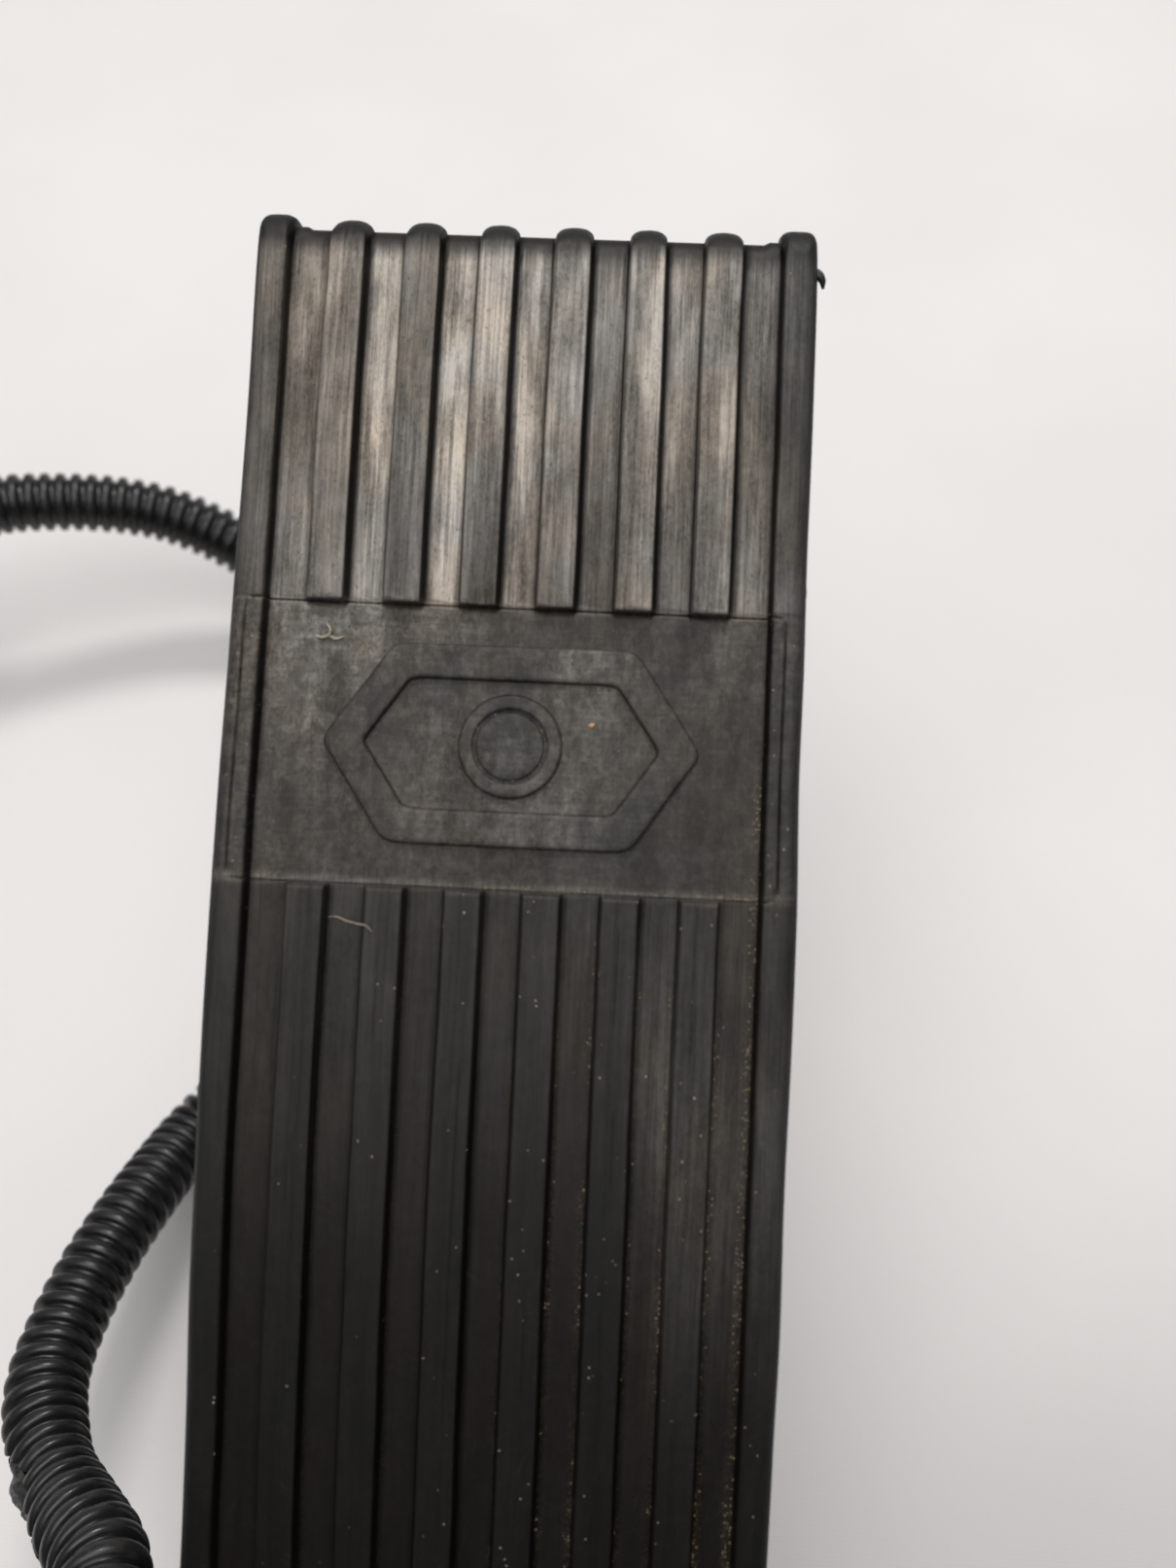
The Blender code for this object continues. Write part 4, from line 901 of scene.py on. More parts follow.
def pad_finish(points):
    """The point attributes that drive the worn rubber, its painted sheen and its painted shade."""
    x, u, n = points.T
    between = np.abs(x) < 31.0
    toe_level = rib_level(COLUMNS, np.full_like(COLUMNS, PAD_END))
    rib = np.where(u > PAD_END, np.interp(x, COLUMNS, toe_level), rib_level(x, u))
    rib = rib * ease(n, 10, 6.0)
    on_panel = ease(u, 172.0, 1.5) * (1 - ease(u, 209.5, 1.0))
    wall = np.maximum(ease(np.abs(x), 36.9, 0.9), ease(u, 261.5, 1.5))
    side = np.maximum(ease(np.abs(x), 35.6, 1.4), ease(u, 260.5, 2.0))

    bounds = sorted([rib_x + s * 2.6 for rib_x in RIBS for s in (-1, 1)] + [-33.4, 33.4])
    strip = np.sum([smooth((x - b + 0.25) / 0.5) for b in bounds], axis=0) * (1 - on_panel)

    # painted shade on the rib walls, the right walls darker than the left, and at the foot of the
    # raised border
    off = x - np.array(RIBS)[np.argmin([np.abs(x - rib_x) for rib_x in RIBS], axis=0)]
    right = ease(off, 2.22, 0.18) * (1 - ease(off, 3.05, 0.25))
    left = ease(-off, 2.50, 0.14) * (1 - ease(-off, 2.88, 0.12))
    border_foot_shade = bell(np.abs(x), 33.35, 0.35)
    painted_flank_shade = np.where(between, np.maximum(right, 0.8 * left), 0.0) * (1 - on_panel)
    painted_flank_shade = np.maximum(painted_flank_shade, border_foot_shade)

    film_and_sheen = film_and_painted_sheen(x, u, on_panel)
    above = ease(u, 209.0, 2.0)
    film_and_sheen = film_and_sheen * np.where(between, 1 - above * (0.93 * right + 0.75 * left), 1.0)
    film_and_sheen = film_and_sheen * (1 - 0.9 * border_foot_shade) * (1 - 0.93 * wall)

    foot = 0.75 * bell(x, 32.7, 0.62) * ease(u, 212, -25.0)
    for line_x, width, strength in DUST_LINES:
        foot = np.maximum(foot, strength * bell(x, line_x, width) * ease(u, 172, -12.0))
    across = bell(u, 173.1, 0.35) * ease(x, -28, 40.0) * (np.abs(x) < 33)
    foot = np.maximum(foot, 0.9 * across)
    patchy = ease(fbm(u / 7.0, x / 5.0, 91), -0.35, 0.7)
    dust = np.clip(foot * (0.35 + 0.75 * patchy), 0, 1) * ease(n, 17.8, 1.2) * (1 - 0.7 * rib)

    motes = on_panel * (0.25 + 0.75 * ease(x, -20.0, 45.0) * ease(u, 205.0, -22.0))
    motes = motes + (1 - on_panel) * (0.02 + 0.035 * ease(x, -10.0, 30.0)) * ease(u, 200.0, -30.0)
    ring = hexagon_distance(x, u)
    motes = motes + 1.1 * bell(np.maximum(ring, 0), 0, 1.1) * ease(x, -30.0, 25.0) * (ring > -0.5)
    motes = np.clip(motes, 0, 1.4) * (1 - side) * (1 - wall)

    scuff = ease(u, PANEL_LOW, 2) * ease(u, PANEL_HIGH, -1.0) * (1 - wall) + 0.22
    # fade climbs from the heel to the toe and sets the painted shade towards the heel
    return {
        "pad": points, "rib": rib, "film_and_sheen": film_and_sheen, "dust": dust, "scuff": np.clip(scuff, 0, 1),
        "side": side, "motes": motes, "fade": ease(u, 42.0, 105.0), "painted_flank_shade": painted_flank_shade, "strip": strip,
    }


# ---------------------------------------------------------------- pad: mesh patches
def grid_patch(points):
    rows, cols = points.shape[:2]
    return points.reshape(-1, 3), grid_faces(rows, cols)


def single_face(points):
    return np.array(points), [list(range(len(points)))]


def top_patch():
    u, x = np.meshgrid(ROWS, COLUMNS, indexing="ij")
    return grid_patch(np.stack([x, u, PAD_TOP + pad_height(x, u)], -1))


def side_profile():
    """(x, n) down the side wall from the top."""
    profile = [
        (HALF_TOP + SIDE_ROUND * math.sin(a), PAD_TOP - SIDE_ROUND * (1 - math.cos(a))) for a in ROLL
    ]
    low = profile[-1][1]
    walls = range(1, WALL_STEPS + 1)
    return np.array(profile + [(HALF_PAD, low + (PAD_FOOT - low) * k / WALL_STEPS) for k in walls])


def side_patch(s, profile):
    grid = np.zeros((len(ROWS), len(profile), 3))
    grid[:, :, 0] = s * profile[:, 0]
    grid[:, :, 1] = ROWS[:, None]
    grid[:, :, 2] = profile[:, 1]
    return grid_patch(grid)


def toe_heights():
    """Relief along the toe line: as on the top, and domed where the ribs end."""
    across = np.abs(COLUMNS)
    flat = pad_height(COLUMNS, np.full_like(COLUMNS, PAD_END))
    dome = np.clip(1 - (nearest_rib(COLUMNS) / 2.62) ** 2.6, 0, 1) ** 0.5
    rim = np.clip(1 - ((34.9 - across).clip(0) / 1.9) ** 2.4, 0, 1) ** 0.5
    rim = np.where(across > 33.0, rim, 0.0)
    domed = -RIB_DEPTH * (1 - np.where(across < 31.0, dome * 0.76, rim))
    return flat, np.where(across > 31.0, domed * 0.8, domed)


def toe_patch(flat, domed):
    """The top rolls over into the front wall, where the grooves fade out."""
    rows = []
    for a in ROLL:
        reach = TOE_ROUND + (flat + (domed - flat) * smooth(math.sin(a) * 1.25))
        n = PAD_TOP - TOE_ROUND + reach * math.cos(a)
        rows.append(np.stack([COLUMNS, PAD_END + reach * math.sin(a), n], -1))
    wall_top = PAD_TOP - TOE_ROUND
    for k in range(1, WALL_STEPS + 1):
        n = wall_top + (PAD_FOOT - wall_top) * k / WALL_STEPS
        faded = -RIB_DEPTH + (domed + RIB_DEPTH) * ease(n, 13.6, 3.4)
        relief = np.where(np.abs(COLUMNS) < 31.0, faded, domed)
        u = PAD_END + TOE_ROUND + relief
        rows.append(np.stack([COLUMNS, u, np.full_like(COLUMNS, n)], -1))
    return grid_patch(np.array(rows))


def corner_plan(b, swell=1.0):
    """(x, u) on the toe corner's outline at angle b from the front."""
    x = HALF_TOP + SIDE_ROUND * swell * max(math.sin(b), 0.0) ** 0.72
    return x, PAD_END + TOE_ROUND * swell * max(math.cos(b), 0.0) ** 0.60


def corner_patch(s):
    rows = []
    for a in ROLL:
        row = []
        for b in CORNER:
            x, u = corner_plan(b, math.sin(a))
            drop = TOE_ROUND * math.cos(b) ** 2 + SIDE_ROUND * math.sin(b) ** 2
            row.append((s * x, u, PAD_TOP - drop * (1 - math.cos(a))))
        rows.append(row)
    last = np.array(rows[-1])
    for k in range(1, WALL_STEPS + 1):
        row = last.copy()
        row[:, 2] = last[:, 2] + (PAD_FOOT - last[:, 2]) * k / WALL_STEPS
        rows.append(row)
    return grid_patch(np.array(rows))


def cavity_grid():
    """The cavity that grips the plate, its lips narrower past u = 14."""
    grid = np.zeros((len(ROWS), 10, 3))
    for i, u in enumerate(ROWS):
        lip = 30.0 if u > 14 else 34.25
        half = [(-HALF_PAD, PAD_FOOT), (-lip, PAD_FOOT), (-lip, 4.7), (-34.3, 4.7), (-34.3, 17.8)]
        line = half + [(-x, n) for x, n in half[::-1]]
        grid[i] = [(x, u, n) for x, n in line]
    return grid


def heel_patch(profile, cavity):
    """The heel end, one face round the section."""
    u = ROWS[0]
    height = pad_height(COLUMNS, np.full_like(COLUMNS, u))
    ring = [(-x, u, n) for x, n in profile[::-1]]
    ring += [(x, u, PAD_TOP + h) for x, h in zip(COLUMNS[1:-1], height[1:-1])]
    ring += [(x, u, n) for x, n in profile]
    ring += [tuple(point) for point in cavity[0, 1:9][::-1]]
    return single_face(ring)


def toe_underside(domed):
    relief = np.where(np.abs(COLUMNS) < 31.0, -RIB_DEPTH, domed)
    corner = [corner_plan(b) for b in CORNER]
    rim = [(-HALF_PAD, PAD_END)]
    rim += [(-x, u) for x, u in corner[::-1][1:]]
    rim += [(x, PAD_END + TOE_ROUND + r) for x, r in zip(COLUMNS[1:-1], relief[1:-1])]
    rim += corner + [(30.0, PAD_END), (-30.0, PAD_END)]
    return single_face([(x, u, PAD_FOOT) for x, u in rim])


def build_pad():
    profile, cavity = side_profile(), cavity_grid()
    flat, domed = toe_heights()
    patches = [
        top_patch(), side_patch(-1, profile), side_patch(1, profile), toe_patch(flat, domed),
        corner_patch(-1), corner_patch(1), grid_patch(cavity), single_face(cavity[-1, 1:9]),
        heel_patch(profile, cavity), toe_underside(domed),
    ]
    faces, base = [], 0
    for points, patch_faces in patches:
        faces += [(np.asarray(face) + base).tolist() for face in patch_faces]
        base += len(points)
    points = np.concatenate([points for points, _ in patches])
    verts = treadle_to_world(pad_shift(points))
    finish = pad_finish(points)
    return new_object("treadle_pad_rubber", verts, faces, finish, weld=2e-7, sharp=50.0)


pad = build_pad()
dress(pad, "pad", "black_rubber")
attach(pad, "treadle")
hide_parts("treadle_pad")

# ---------------------------------------------------------------- raised badge on the insert
# inset from the hexagon's outline, height above the groove floor
HEXAGON_STEPS = (
    (0.0, -0.3), (0.0, 0.42), (0.06, 0.62), (0.18, 0.76), (0.42, 0.84), (0.9, 0.85), (2.3, 0.86),
    (3.9, 0.85), (4.25, 0.83), (4.45, 0.74), (4.55, 0.58), (4.65, 0.12), (4.85, 0.06),
)
# radius of the round boss, height above the groove floor
BOSS_STEPS = (
    (7.0, 0.07), (6.85, 0.12), (6.75, 0.58), (6.65, 0.74), (6.4, 0.83), (5.4, 0.85), (5.1, 0.84),
    (4.98, 0.76), (4.9, 0.50), (4.45, 0.46), (4.37, 0.74), (4.2, 0.84), (3.0, 0.86), (1.5, 0.87),
)
BADGE_CENTRE = np.array([0.0, BADGE_U])


def hexagon_line(inset, passes):
    """The hexagon about its centre, each side moved in by inset, corners rounded off."""
    far, near = BADGE_U + BADGE_HALF_U, BADGE_U - BADGE_HALF_U
    point, shoulder = BADGE_POINT, BADGE_SHOULDER
    corners = np.array([
        (point, BADGE_U), (shoulder, far), (-shoulder, far),
        (-point, BADGE_U), (-shoulder, near), (shoulder, near),
    ])
    normals, offsets = [], []
    for i in range(6):
        along = unit(corners[(i + 1) % 6] - corners[i])
        normals.append(np.array([-along[1], along[0]]))
        offsets.append(normals[-1] @ corners[i] + inset)
    moved = []
    for i in range(6):
        sides = np.array([normals[i - 1], normals[i]])
        moved.append(np.linalg.solve(sides, np.array([offsets[i - 1], offsets[i]])))
    line = []
    for i in range(6):
        start, end = moved[i], moved[(i + 1) % 6]
        line += [start + (end - start) * t for t in np.linspace(0, 1, 40, endpoint=False)]
    line = np.array(line)
    for _ in range(passes):
        line = 0.25 * np.roll(line, 1, 0) + 0.5 * line + 0.25 * np.roll(line, -1, 0)
    return line - BADGE_CENTRE


def build_badge():
    floor_line = hexagon_line(5.0, 4)
    turn = np.arctan2(floor_line[:, 1], floor_line[:, 0])
    circle = np.stack([np.cos(turn), np.sin(turn)], 1)
    rings = [(hexagon_line(inset, 8), z) for inset, z in HEXAGON_STEPS]
    inmost = rings[-1][0]
    rings += [(inmost * (1 - t) + circle * 7.2 * t, 0.06) for t in (0.3, 0.6, 0.85)]
    rings += [(circle * radius, z) for radius, z in BOSS_STEPS]
    points = []
    for plan, z in rings:
        x, u = (plan + BADGE_CENTRE).T
        wave = 0.07 * fbm(x / 7.0, u / 7.0, 101) * (1 if z > 0.3 else 0)
        points.append(np.stack([x, u, np.full(len(x), GROOVE_FLOOR + z) + wave], 1))
    around = len(circle)
    faces = grid_faces(len(rings), around, wrap=True).tolist()
    faces.append(list(range(around)))
    points = np.vstack(points + [[[0.0, BADGE_U, GROOVE_FLOOR + 0.87]]])
    tip = len(points) - 1
    start = tip - around
    faces += [[start + i, start + (i + 1) % around, tip] for i in range(around)]

    x, u, n = points.T
    rise = n - GROOVE_FLOOR
    # the badge's film, part dust and part painted sheen, brighter towards its top
    film_and_sheen = 0.30 + 0.35 * fbm(x / 9.0, u / 26.0, 82) + 0.10 * ease(u, 196, 8.0)
    zero = np.zeros(len(points))
    finish = {
        "pad": points, "rib": zero + 0.75, "film_and_sheen": np.clip(film_and_sheen, 0, 1),
        "dust": 0.16 * (bell(n, GROOVE_FLOOR, 0.35) * ease(x, -5, 20.0)),
        "scuff": zero + 1.0, "side": zero, "motes": zero + 0.18, "fade": zero + 1.0,
        # painted shade: the badge's steep walls are darkened into a dark outline
        "painted_flank_shade": np.where((rise > 0.09) & (rise < 0.66), 0.85, 0.0), "strip": zero + 40.0,
    }
    verts = treadle_to_world(pad_shift(points))
    return new_object("pad_badge", verts, faces, finish, sharp=50.0)


badge = build_badge()
dress(badge, "pad", "black_rubber")
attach(badge, "treadle")

# ---------------------------------------------------------------- flash and stray bits on the pad
# name, material, sides, n the path is measured from, radii along it, path (x, u, n)
STRANDS = (
    ("flash_nib", "flash", 6, 0.0, (0.7, 0.75, 0.5, 0.18),
     ((37.7, 257.6, 20.6), (38.4, 257.0, 20.7), (38.9, 256.4, 20.5), (39.1, 255.4, 20.1))),
    ("flash_sliver", "flash", 6, 0.0, (0.12, 0.22, 0.08),
     ((37.95, 216.4, 19.9), (38.06, 213.6, 20.0), (38.02, 211.2, 19.9))),
    ("flash_sliver_low", "flash", 6, 0.0, (0.1, 0.24, 0.08),
     ((37.95, 209.2, 19.9), (38.04, 206.9, 20.0), (38.0, 204.6, 19.9))),
    ("debris_curl", "debris", 6, GROOVE_FLOOR, (0.14, 0.2, 0.18, 0.14, 0.08),
     ((-26.6, 205.2, 0.25), (-25.7, 205.0, 0.35), (-24.9, 205.3, 0.5), (-24.6, 206.1, 0.7),
      (-25.2, 206.9, 0.6))),
    ("debris_tail", "debris", 6, GROOVE_FLOOR, (0.16, 0.2, 0.07),
     ((-24.9, 205.3, 0.35), (-23.9, 204.9, 0.3), (-22.9, 205.2, 0.25))),
    ("stray_hair", "debris", 5, GROOVE_FLOOR, (0.04, 0.06, 0.06, 0.06, 0.06, 0.03),
     ((-22.4, 168.5, 1.0), (-21.2, 168.7, 1.75), (-19.8, 168.3, 2.15), (-18.4, 168.0, 2.25),
      (-17.2, 167.8, 2.3), (-16.4, 167.1, 2.28))),
    ("clay_speck", "clay", 7, GROOVE_FLOOR, (0.16, 0.42, 0.14),
     ((10.1, 194.7, 0.1), (10.5, 194.8, 0.16), (10.9, 195.0, 0.1))),
)
for name, key, around, ground, radii, points in STRANDS:
    path = catmull([(x, u, ground + n) for x, u, n in points], 0.25)
    places = np.linspace(0, 1, len(path))
    radius = np.interp(places, np.linspace(0, 1, len(radii)), radii)
    points, faces = tube(path, radius, around)
    strand = new_object(name, treadle_to_world(points), faces)
    dress(strand, key)
    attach(strand, "treadle")

# ---------------------------------------------------------------- corrugated split conduits
# world mm; each lead leaves its connector along its exit direction
SENSOR_EXIT = np.array((-43.0, 47.5, 25.5))
EXIT_DIRECTION = {
    "sensor": unit(np.array((-0.55, -0.66, -0.51))),
    "switch": np.array((0.0, 1.0, 0.0)),
}
SENSOR_RUN = [
    (-59.0, 31.5, 12.2), (-65.6, 24.7, 10.8), (-70.3, 17.2, 13.5), (-73.5, 4.1, 25.0),
    (-76.1, -8.5, 33.4), (-77.2, -20.4, 40.0), (-75.9, -29.5, 45.6), (-70.7, -37.7, 51.5),
    (-60.7, -45.5, 61.7), (-54.0, -49.6, 67.8), (-50.2, -55.6, 74.2), (-49.0, -67.0, 78.3),
    (-49.8, -84.0, 75.5), (-53.0, -103.0, 61.0), (-57.0, -121.0, 42.0), (-59.5, -137.0, 23.0),
    (-60.0, -152.0, 10.8), (-60.0, -166.0, 7.6), (-60.0, -176.0, 7.6), (-60.0, -186.0, 7.6),
]
SWITCH_START = [(-43.0, y, 31.0) for y in (76.8, 81.0, 85.0, 88.5)]
SWITCH_RUN = [
    (-81.8, 155.9, 27.8), (-90.2, 157.8, 32.1), (-98.4, 158.4, 35.8), (-106.7, 157.7, 38.7),
    (-115.1, 156.2, 41.2), (-123.4, 154.2, 43.2), (-131.0, 152.0, 44.6), (-140.6, 148.6, 44.5),
    (-150.4, 144.9, 42.4), (-160.5, 133.0, 34.0), (-166.0, 118.5, 24.0), (-168.0, 103.0, 13.5),
    (-168.0, 90.0, 8.6), (-168.0, 78.0, 7.6), (-168.0, 66.0, 7.6), (-168.0, 55.0, 7.6),
    (-168.0, 45.0, 7.6),
]
PITCH = 3.25
# place in one pitch, and radius of the corrugation there
WAVE = (
    (0.00, 5.40), (0.12, 5.40), (0.18, 5.50), (0.21, 5.95), (0.25, 6.28), (0.32, 6.50), (0.42, 6.62),
    (0.53, 6.65), (0.64, 6.62), (0.74, 6.50), (0.81, 6.28), (0.85, 5.95), (0.88, 5.50), (0.94, 5.40),
)
VALLEY_RADIUS = WAVE[0][1]
SLIT_HALF = math.radians(1.6)


def eased(start, start_dir, end, end_dir, reach, count):
    """Inner points of a cubic curve between two ends and their directions."""
    start, start_dir, end, end_dir = (np.array(v, float) for v in (start, start_dir, end, end_dir))
    a, b = start + start_dir * reach, end - end_dir * reach
    return [
        (1 - t) ** 3 * start + 3 * (1 - t) ** 2 * t * a + 3 * (1 - t) * t * t * b + t**3 * end
        for t in np.linspace(0, 1, count + 2)[1:-1]
    ]


sensor_start = [SENSOR_EXIT + k * EXIT_DIRECTION["sensor"] for k in (8.8, 12.0, 15.5, 18.0)]
switch_lead = eased(
    SWITCH_START[-1], EXIT_DIRECTION["switch"], SWITCH_RUN[0], (-0.76, 0.1, 0.6), reach=32, count=4
)
CONTROL = {"sensor": sensor_start + SENSOR_RUN, "switch": SWITCH_START + switch_lead + SWITCH_RUN}
CONDUIT_PATH = {side: softened(catmull(points, 1.0), 8) for side, points in CONTROL.items()}


def nearest_length(path, point):
    return arc_lengths(path)[np.argmin(np.linalg.norm(path - np.array(point), axis=1))]


# length along the sensor run where its slit gapes
OPEN_AT = nearest_length(CONDUIT_PATH["sensor"], (-67.5, -40.3, 55.0))


def sensor_aim(stops):
    """World direction the slit faces, turning near the gape."""
    t = smooth(1 - np.abs(stops - OPEN_AT) / 40.0)
    return unit(np.outer(1 - t, (-0.62, 0.15, -0.78)) + np.outer(t, (-0.80, -0.50, 0.34)))


def switch_aim(stops):
    return np.tile(np.array((-0.2, -0.45, -0.87)), (len(stops), 1))


def sensor_gap(stops):
    """Half angle of the slit."""
    return SLIT_HALF + math.radians(38.0) * bell(stops, OPEN_AT, 6.5)


def switch_gap(stops):
    return np.full(len(stops), SLIT_HALF)


def slit_frame(path, stops, aim):
    """Centres at the stops, the direction of the slit and the one square to it."""
    run = arc_lengths(path)
    along = unit(sample(run, tangents(path), stops))
    aimed = aim(stops)
    first = unit(aimed - along * (aimed * along).sum(1)[:, None])
    return sample(run, path, stops), first, np.cross(along, first)


def build_conduit(side, gap, aim, pinch):
    """A corrugated sheet with a slit along it; pinch is how far it narrows at the gape."""
    path = CONDUIT_PATH[side]
    length = arc_lengths(path)[-1]
    count = int(length / PITCH)
    pitch = length / count
    stops = np.array([(i + place) * pitch for i in range(count) for place, _ in WAVE] + [length])
    radius = np.array([r for _ in range(count) for _, r in WAVE] + [VALLEY_RADIUS])
    centre, first, second = slit_frame(path, stops, aim)
    half = gap(stops)[:, None]
    narrowing = pinch * bell(stops, OPEN_AT, 7.5)
    jitter = 0.06 * (value_noise(stops / 5.0, 0.5, 121) * 2)

    def sheet(columns, thickness):
        angles = half + (2 * math.pi - 2 * half) * np.linspace(0, 1, columns)[None, :]
        waver = 0.05 * value_noise(stops[:, None] / 8.0, angles * 1.3, 131)
        rings = (radius + jitter - narrowing - thickness)[:, None] + waver
        return sweep(centre, first, second, rings, angles).reshape(-1, 3)

    outer_n, inner_n, rows = 44, 16, len(stops)
    verts = np.concatenate([sheet(outer_n, 0.0), sheet(inner_n, 0.75)])
    base = rows * outer_n
    faces = grid_faces(rows, outer_n).tolist() + grid_faces(rows, inner_n, base).tolist()
    for i in range(rows - 1):  # the two lips of the slit
        for outer, inner in ((0, base), (outer_n - 1, base + inner_n - 1)):
            outer, inner = outer + i * outer_n, inner + i * inner_n
            faces.append([outer, outer + outer_n, inner + inner_n, inner])
    for i in (0, rows - 1):  # the cut ends
        outer, inner = i * outer_n, base + i * inner_n
        faces.append([*range(outer, outer + outer_n), *range(inner + inner_n - 1, inner - 1, -1)])
    ridge = np.repeat((radius - VALLEY_RADIUS) / 1.25, outer_n)
    ridge = np.concatenate([ridge, np.zeros(rows * inner_n)])
    conduit = new_object(f"{side}_loom", verts / 1000.0, faces, {"ridge": ridge}, sharp=60.0)
    dress(conduit, "loom", "loom")
    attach(conduit, "base")
    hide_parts(f"{side}_conduit")


build_conduit("sensor", sensor_gap, sensor_aim, pinch=0.85)
build_conduit("switch", switch_gap, switch_aim, pinch=0.0)


def build_film():
    """Crinkled tape showing where the sensor loom's slit has opened."""
    stops = np.arange(OPEN_AT - 17.0, OPEN_AT + 17.01, 0.45)
    centre, first, second = slit_frame(CONDUIT_PATH["sensor"], stops, sensor_aim)
    angles = np.linspace(-0.62, 0.62, 34)[None, :]
    along = stops[:, None]
    bulge = bell(along, OPEN_AT, 10.0) * np.cos(angles * 2.0).clip(0)
    crinkle = fbm(along / 1.9, angles * 5.5, 141, 4)
    folds = np.abs(value_noise(along / 2.8 + 2.4 * angles, angles * 2.0, 151)) * 1.5
    radius = 4.7 + 2.1 * bulge + (0.75 * crinkle - folds) * (0.25 + bulge)
    rows, cols = radius.shape
    size = rows * cols
    layers = [sweep(centre, first, second, radius - thickness, angles) for thickness in (0.0, 0.35)]
    verts = np.concatenate([layer.reshape(-1, 3) for layer in layers])
    faces = grid_faces(rows, cols).tolist() + grid_faces(rows, cols, size).tolist()
    rim = list(range(cols))
    rim += [i * cols + cols - 1 for i in range(1, rows)]
    rim += [(rows - 1) * cols + j for j in range(cols - 2, -1, -1)]
    rim += [i * cols for i in range(rows - 2, 0, -1)]
    faces += [[a, b, b + size, a + size] for a, b in zip(rim, rim[1:] + rim[:1])]
    film = new_object("sensor_loom_film", verts / 1000.0, faces, sharp=70.0)
    dress(film, "film", "tape")
    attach(film, "base")


build_film()

# ---------------------------------------------------------------- wires in the conduits
WIRE_RADIUS, WIRE_OFFSET, WIRE_SPREAD = 1.08, 2.1, 4.4


def build_wires(side):
    """Three wires in a bundle, fanned out in x past the conduit's end."""
    x, y, z = CONTROL[side][-1]
    coarse = catmull(CONTROL[side], 12.0)
    first, second = carried_sides(coarse)
    angles = [2 * math.pi * k / 3 + math.pi / 2 for k in range(3)]
    bundle = [coarse + WIRE_OFFSET * (math.cos(a) * first + math.sin(a) * second) for a in angles]
    bundle.sort(key=lambda inside: inside[-1, 0])
    for k, (color, inside) in enumerate(zip(("red", "white", "blue"), bundle)):
        head = inside[0] - 4.0 * EXIT_DIRECTION[side]
        tail_x = x + (k - 1) * WIRE_SPREAD
        tail = [(tail_x, y - 14, z), (tail_x, y - 30.6, z)]
        path = softened(catmull([head, *inside, *tail], 2.0), 2)
        points, faces = tube(path, WIRE_RADIUS, around=14)
        wire = new_object(f"{side}_lead_{color}", points / 1000.0, faces, sharp=50.0)
        dress(wire, "wire_" + color, "wire_" + color)
        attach(wire, "base")
        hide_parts(f"{side}_wire_{color}")


for side in CONTROL:
    build_wires(side)

# ---------------------------------------------------------------- torsion springs
COIL_RADIUS, COIL_TURNS = 11.0, 3.375
COIL_OUTER, COIL_INNER = 24.0, 15.5  # distance of the coil's ends from x = 0
LEG_Y = 34.5
# x, place along the lever arm, place square to it
SPRING_HOOK = (
    (15.5, 4, -10.9), (15.5, 8, -9.2), (15.5, 28, 7.0), (15.5, 31.0, 8.7), (14.2, 32, 8.9),
    (9.5, 32, 8.9),
)


def build_spring(side, s):
    """A straight leg under the shaft, a coil round it and a hook on the lever arm."""
    leg_x, leg_z = COIL_OUTER * s, SHAFT_Z - COIL_RADIUS
    leg = [(leg_x, LEG_Y + (SHAFT_Y - LEG_Y) * t, leg_z) for t in np.linspace(0, 0.97, 14)]
    coil = []
    for t in np.linspace(0, 1, 260):
        angle = -math.pi / 2 + 2 * math.pi * COIL_TURNS * t
        x = (COIL_OUTER - (COIL_OUTER - COIL_INNER) * t) * s
        y, z = SHAFT_Y + COIL_RADIUS * math.cos(angle), SHAFT_Z + COIL_RADIUS * math.sin(angle)
        coil.append((x, y, z))
    cos, sin = math.cos(ARM_IDLE), math.sin(ARM_IDLE)
    hook = [coil[-1]]
    for x, a, b in SPRING_HOOK:
        hook.append((x * s, SHAFT_Y + a * cos - b * sin, SHAFT_Z + a * sin + b * cos))
    hook = np.array(hook)
    hook = at_lengths(hook, np.linspace(1.0, arc_lengths(hook)[-1], 46))
    points, faces = tube(softened(np.vstack([leg, coil, hook]), 2), 1.08, around=16)
    spring = new_object(f"torsion_spring_{side}", points / 1000.0, faces, sharp=50.0)
    dress(spring, "spring_steel", "spring_steel")
    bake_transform(spring)
    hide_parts(f"return_spring_{side}")


build_spring("right", 1)
build_spring("left", -1)

# ---------------------------------------------------------------- carried-over CAD nodes
# bevel widths, mm
DEFAULT_BEVEL = 0.25
BEVEL = {
    "base_casting": 0.7, "roller_lever": 0.6, "treadle_plate": 0.35, "sensor_housing": 0.45,
    "sensor_cover": 0.4, "sensor_connector": 0.4, "switch_connector": 0.4, "cam_strip": 0.3,
    "full_stop_bumper": 0.6, "idle_stop_screw": 0.18, "idle_stop_nut": 0.18,
    "lever_set_screw": 0.18, "heel_pin_clip_left": 0.18, "heel_pin_clip_right": 0.18,
    "shaft_retaining_ring": 0.18, "roller_pin_clip": 0.18,
}
SLOT = {row["node"]: row["material_slot"] for row in frame["record"]["subparts"]}


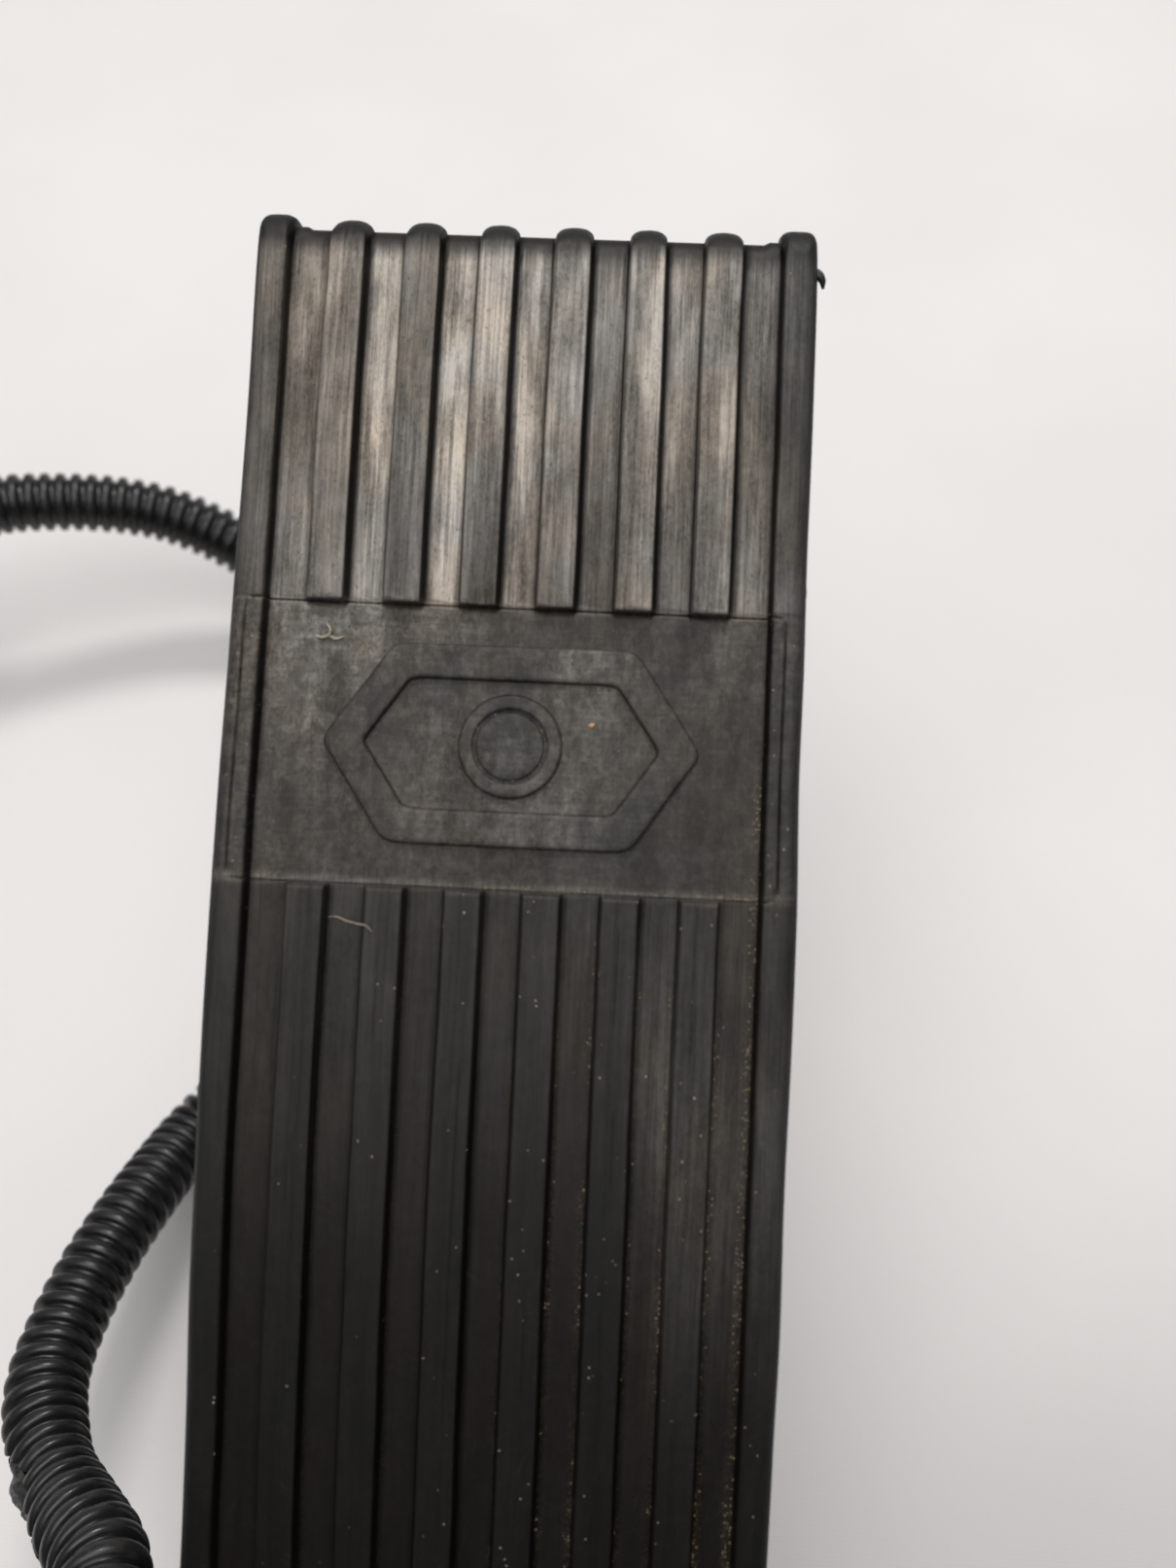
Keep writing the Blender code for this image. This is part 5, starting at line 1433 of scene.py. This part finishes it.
def finish_cad(name, ob):
    """Gives a CAD piece its material and softly bevelled edges."""
    mesh = ob.data
    mesh.materials.clear()
    mesh.materials.append(MATERIALS[SLOT[name]])
    mesh.polygons.foreach_set("use_smooth", [True] * len(mesh.polygons))
    weld = ob.modifiers.new("weld", "WELD")
    weld.merge_threshold = 1e-5
    flat = ob.modifiers.new("flat", "DECIMATE")
    flat.decimate_type = "DISSOLVE"
    flat.angle_limit = math.radians(1.0)
    bevel = ob.modifiers.new("edge", "BEVEL")
    bevel.width = BEVEL.get(name, DEFAULT_BEVEL) / 1000.0
    bevel.segments = 2
    bevel.limit_method = "ANGLE"
    bevel.angle_limit = math.radians(38.0)
    bevel.use_clamp_overlap = True
    bevel.harden_normals = False
    bevel.miter_outer = "MITER_ARC"
    normals = ob.modifiers.new("normals", "WEIGHTED_NORMAL")
    normals.keep_sharp = True
    normals.weight = 60


for name, ob in frame["nodes"].items():
    if not ob.hide_render:
        finish_cad(name, ob)


# ---------------------------------------------------------------- floor, light, camera (metres)
def build_floor():
    """A cloth that lies flat under the pedal and folds gently further out."""
    count = 160
    line = np.linspace(-1.3, 1.3, count)
    y, x = np.meshgrid(line, line, indexing="ij")
    fold = 0.0035 * fbm(x / 0.16 + 0.6 * y, y / 0.24, 201, 3)
    fold = fold + 0.0012 * fbm(x / 0.05 - y * 4, y / 0.09, 211, 2)
    away = ease(np.hypot(x + 0.03, y), 0.17, 0.25)
    z = np.minimum(-0.0004 - 0.0030 * away + fold * away, -0.0002)
    verts = np.stack([x, y, z], -1).reshape(-1, 3)
    floor = new_object("floor", verts, grid_faces(count, count), sharp=80.0)
    floor.data.materials.append(floor_cloth())
    # an open sheet may come out facing down
    if floor.data.polygons[0].normal.z < 0:
        floor.data.flip_normals()


def area_light(name, at, aim, size, power, color):
    light = bpy.data.lights.new(name, "AREA")
    light.shape = "RECTANGLE"
    light.size, light.size_y = size
    light.energy = power
    light.color = color
    ob = bpy.data.objects.new(name, light)
    ob.location = at
    toward = np.array(aim, float) - np.array(at, float)
    ob.rotation_mode = "QUATERNION"
    ob.rotation_quaternion = Vector(toward).to_track_quat("-Z", "Y")
    scene.collection.objects.link(ob)


def build_world():
    """A cool studio glow, brighter upwards and towards +y."""
    world = bpy.data.worlds.new("studio")
    scene.world = world
    world.use_nodes = True
    g = Graph(world.node_tree)
    background = g.tree.nodes["Background"]
    _, y, z = g.split(g.add("TexCoord", out="Generated"))
    lean = g.math("MULTIPLY_ADD", y, 0.5, z)
    g.put(background.inputs["Color"], (0.95, 0.96, 0.985))
    g.put(background.inputs["Strength"], lean.ramp(-0.2, 1.15, to=(0.07, 0.44)))


# rotation and place in the world
CAMERA_POSE = (
    (0.99870416, -0.04477521, 0.02419036, 0.014300),
    (0.05083298, 0.90053048, -0.43181114, -0.021808),
    (-0.00244972, 0.43248125, 0.9016396, 0.271930),
    (0, 0, 0, 1),
)


def build_camera():
    camera = bpy.data.cameras.new("camera")
    camera.sensor_width = 36.0
    camera.lens = 28.099194
    camera.clip_start, camera.clip_end = 0.01, 20.0
    camera.dof.use_dof = True
    focus = bpy.data.objects.new("focus", None)
    focus.location = (0.0098, 0.0581, 0.1051)
    scene.collection.objects.link(focus)
    camera.dof.focus_object = focus
    camera.dof.aperture_fstop = 11.5
    eye = bpy.data.objects.new("camera", camera)
    eye.matrix_world = Matrix(CAMERA_POSE)
    scene.collection.objects.link(eye)
    scene.camera = eye


build_floor()
area_light(
    "key", at=(0.09, 0.72, 1.12), aim=(-0.02, 0.02, 0.0), size=(0.26, 0.22),
    power=6.2, color=(1.0, 0.985, 0.965),
)
area_light(
    "fill", at=(-0.13, -0.10, 1.2), aim=(0, 0.03, 0.05), size=(0.95, 0.85),
    power=7.2, color=(0.995, 0.99, 0.99),
)
build_world()
build_camera()
scene.view_settings.view_transform = "Standard"
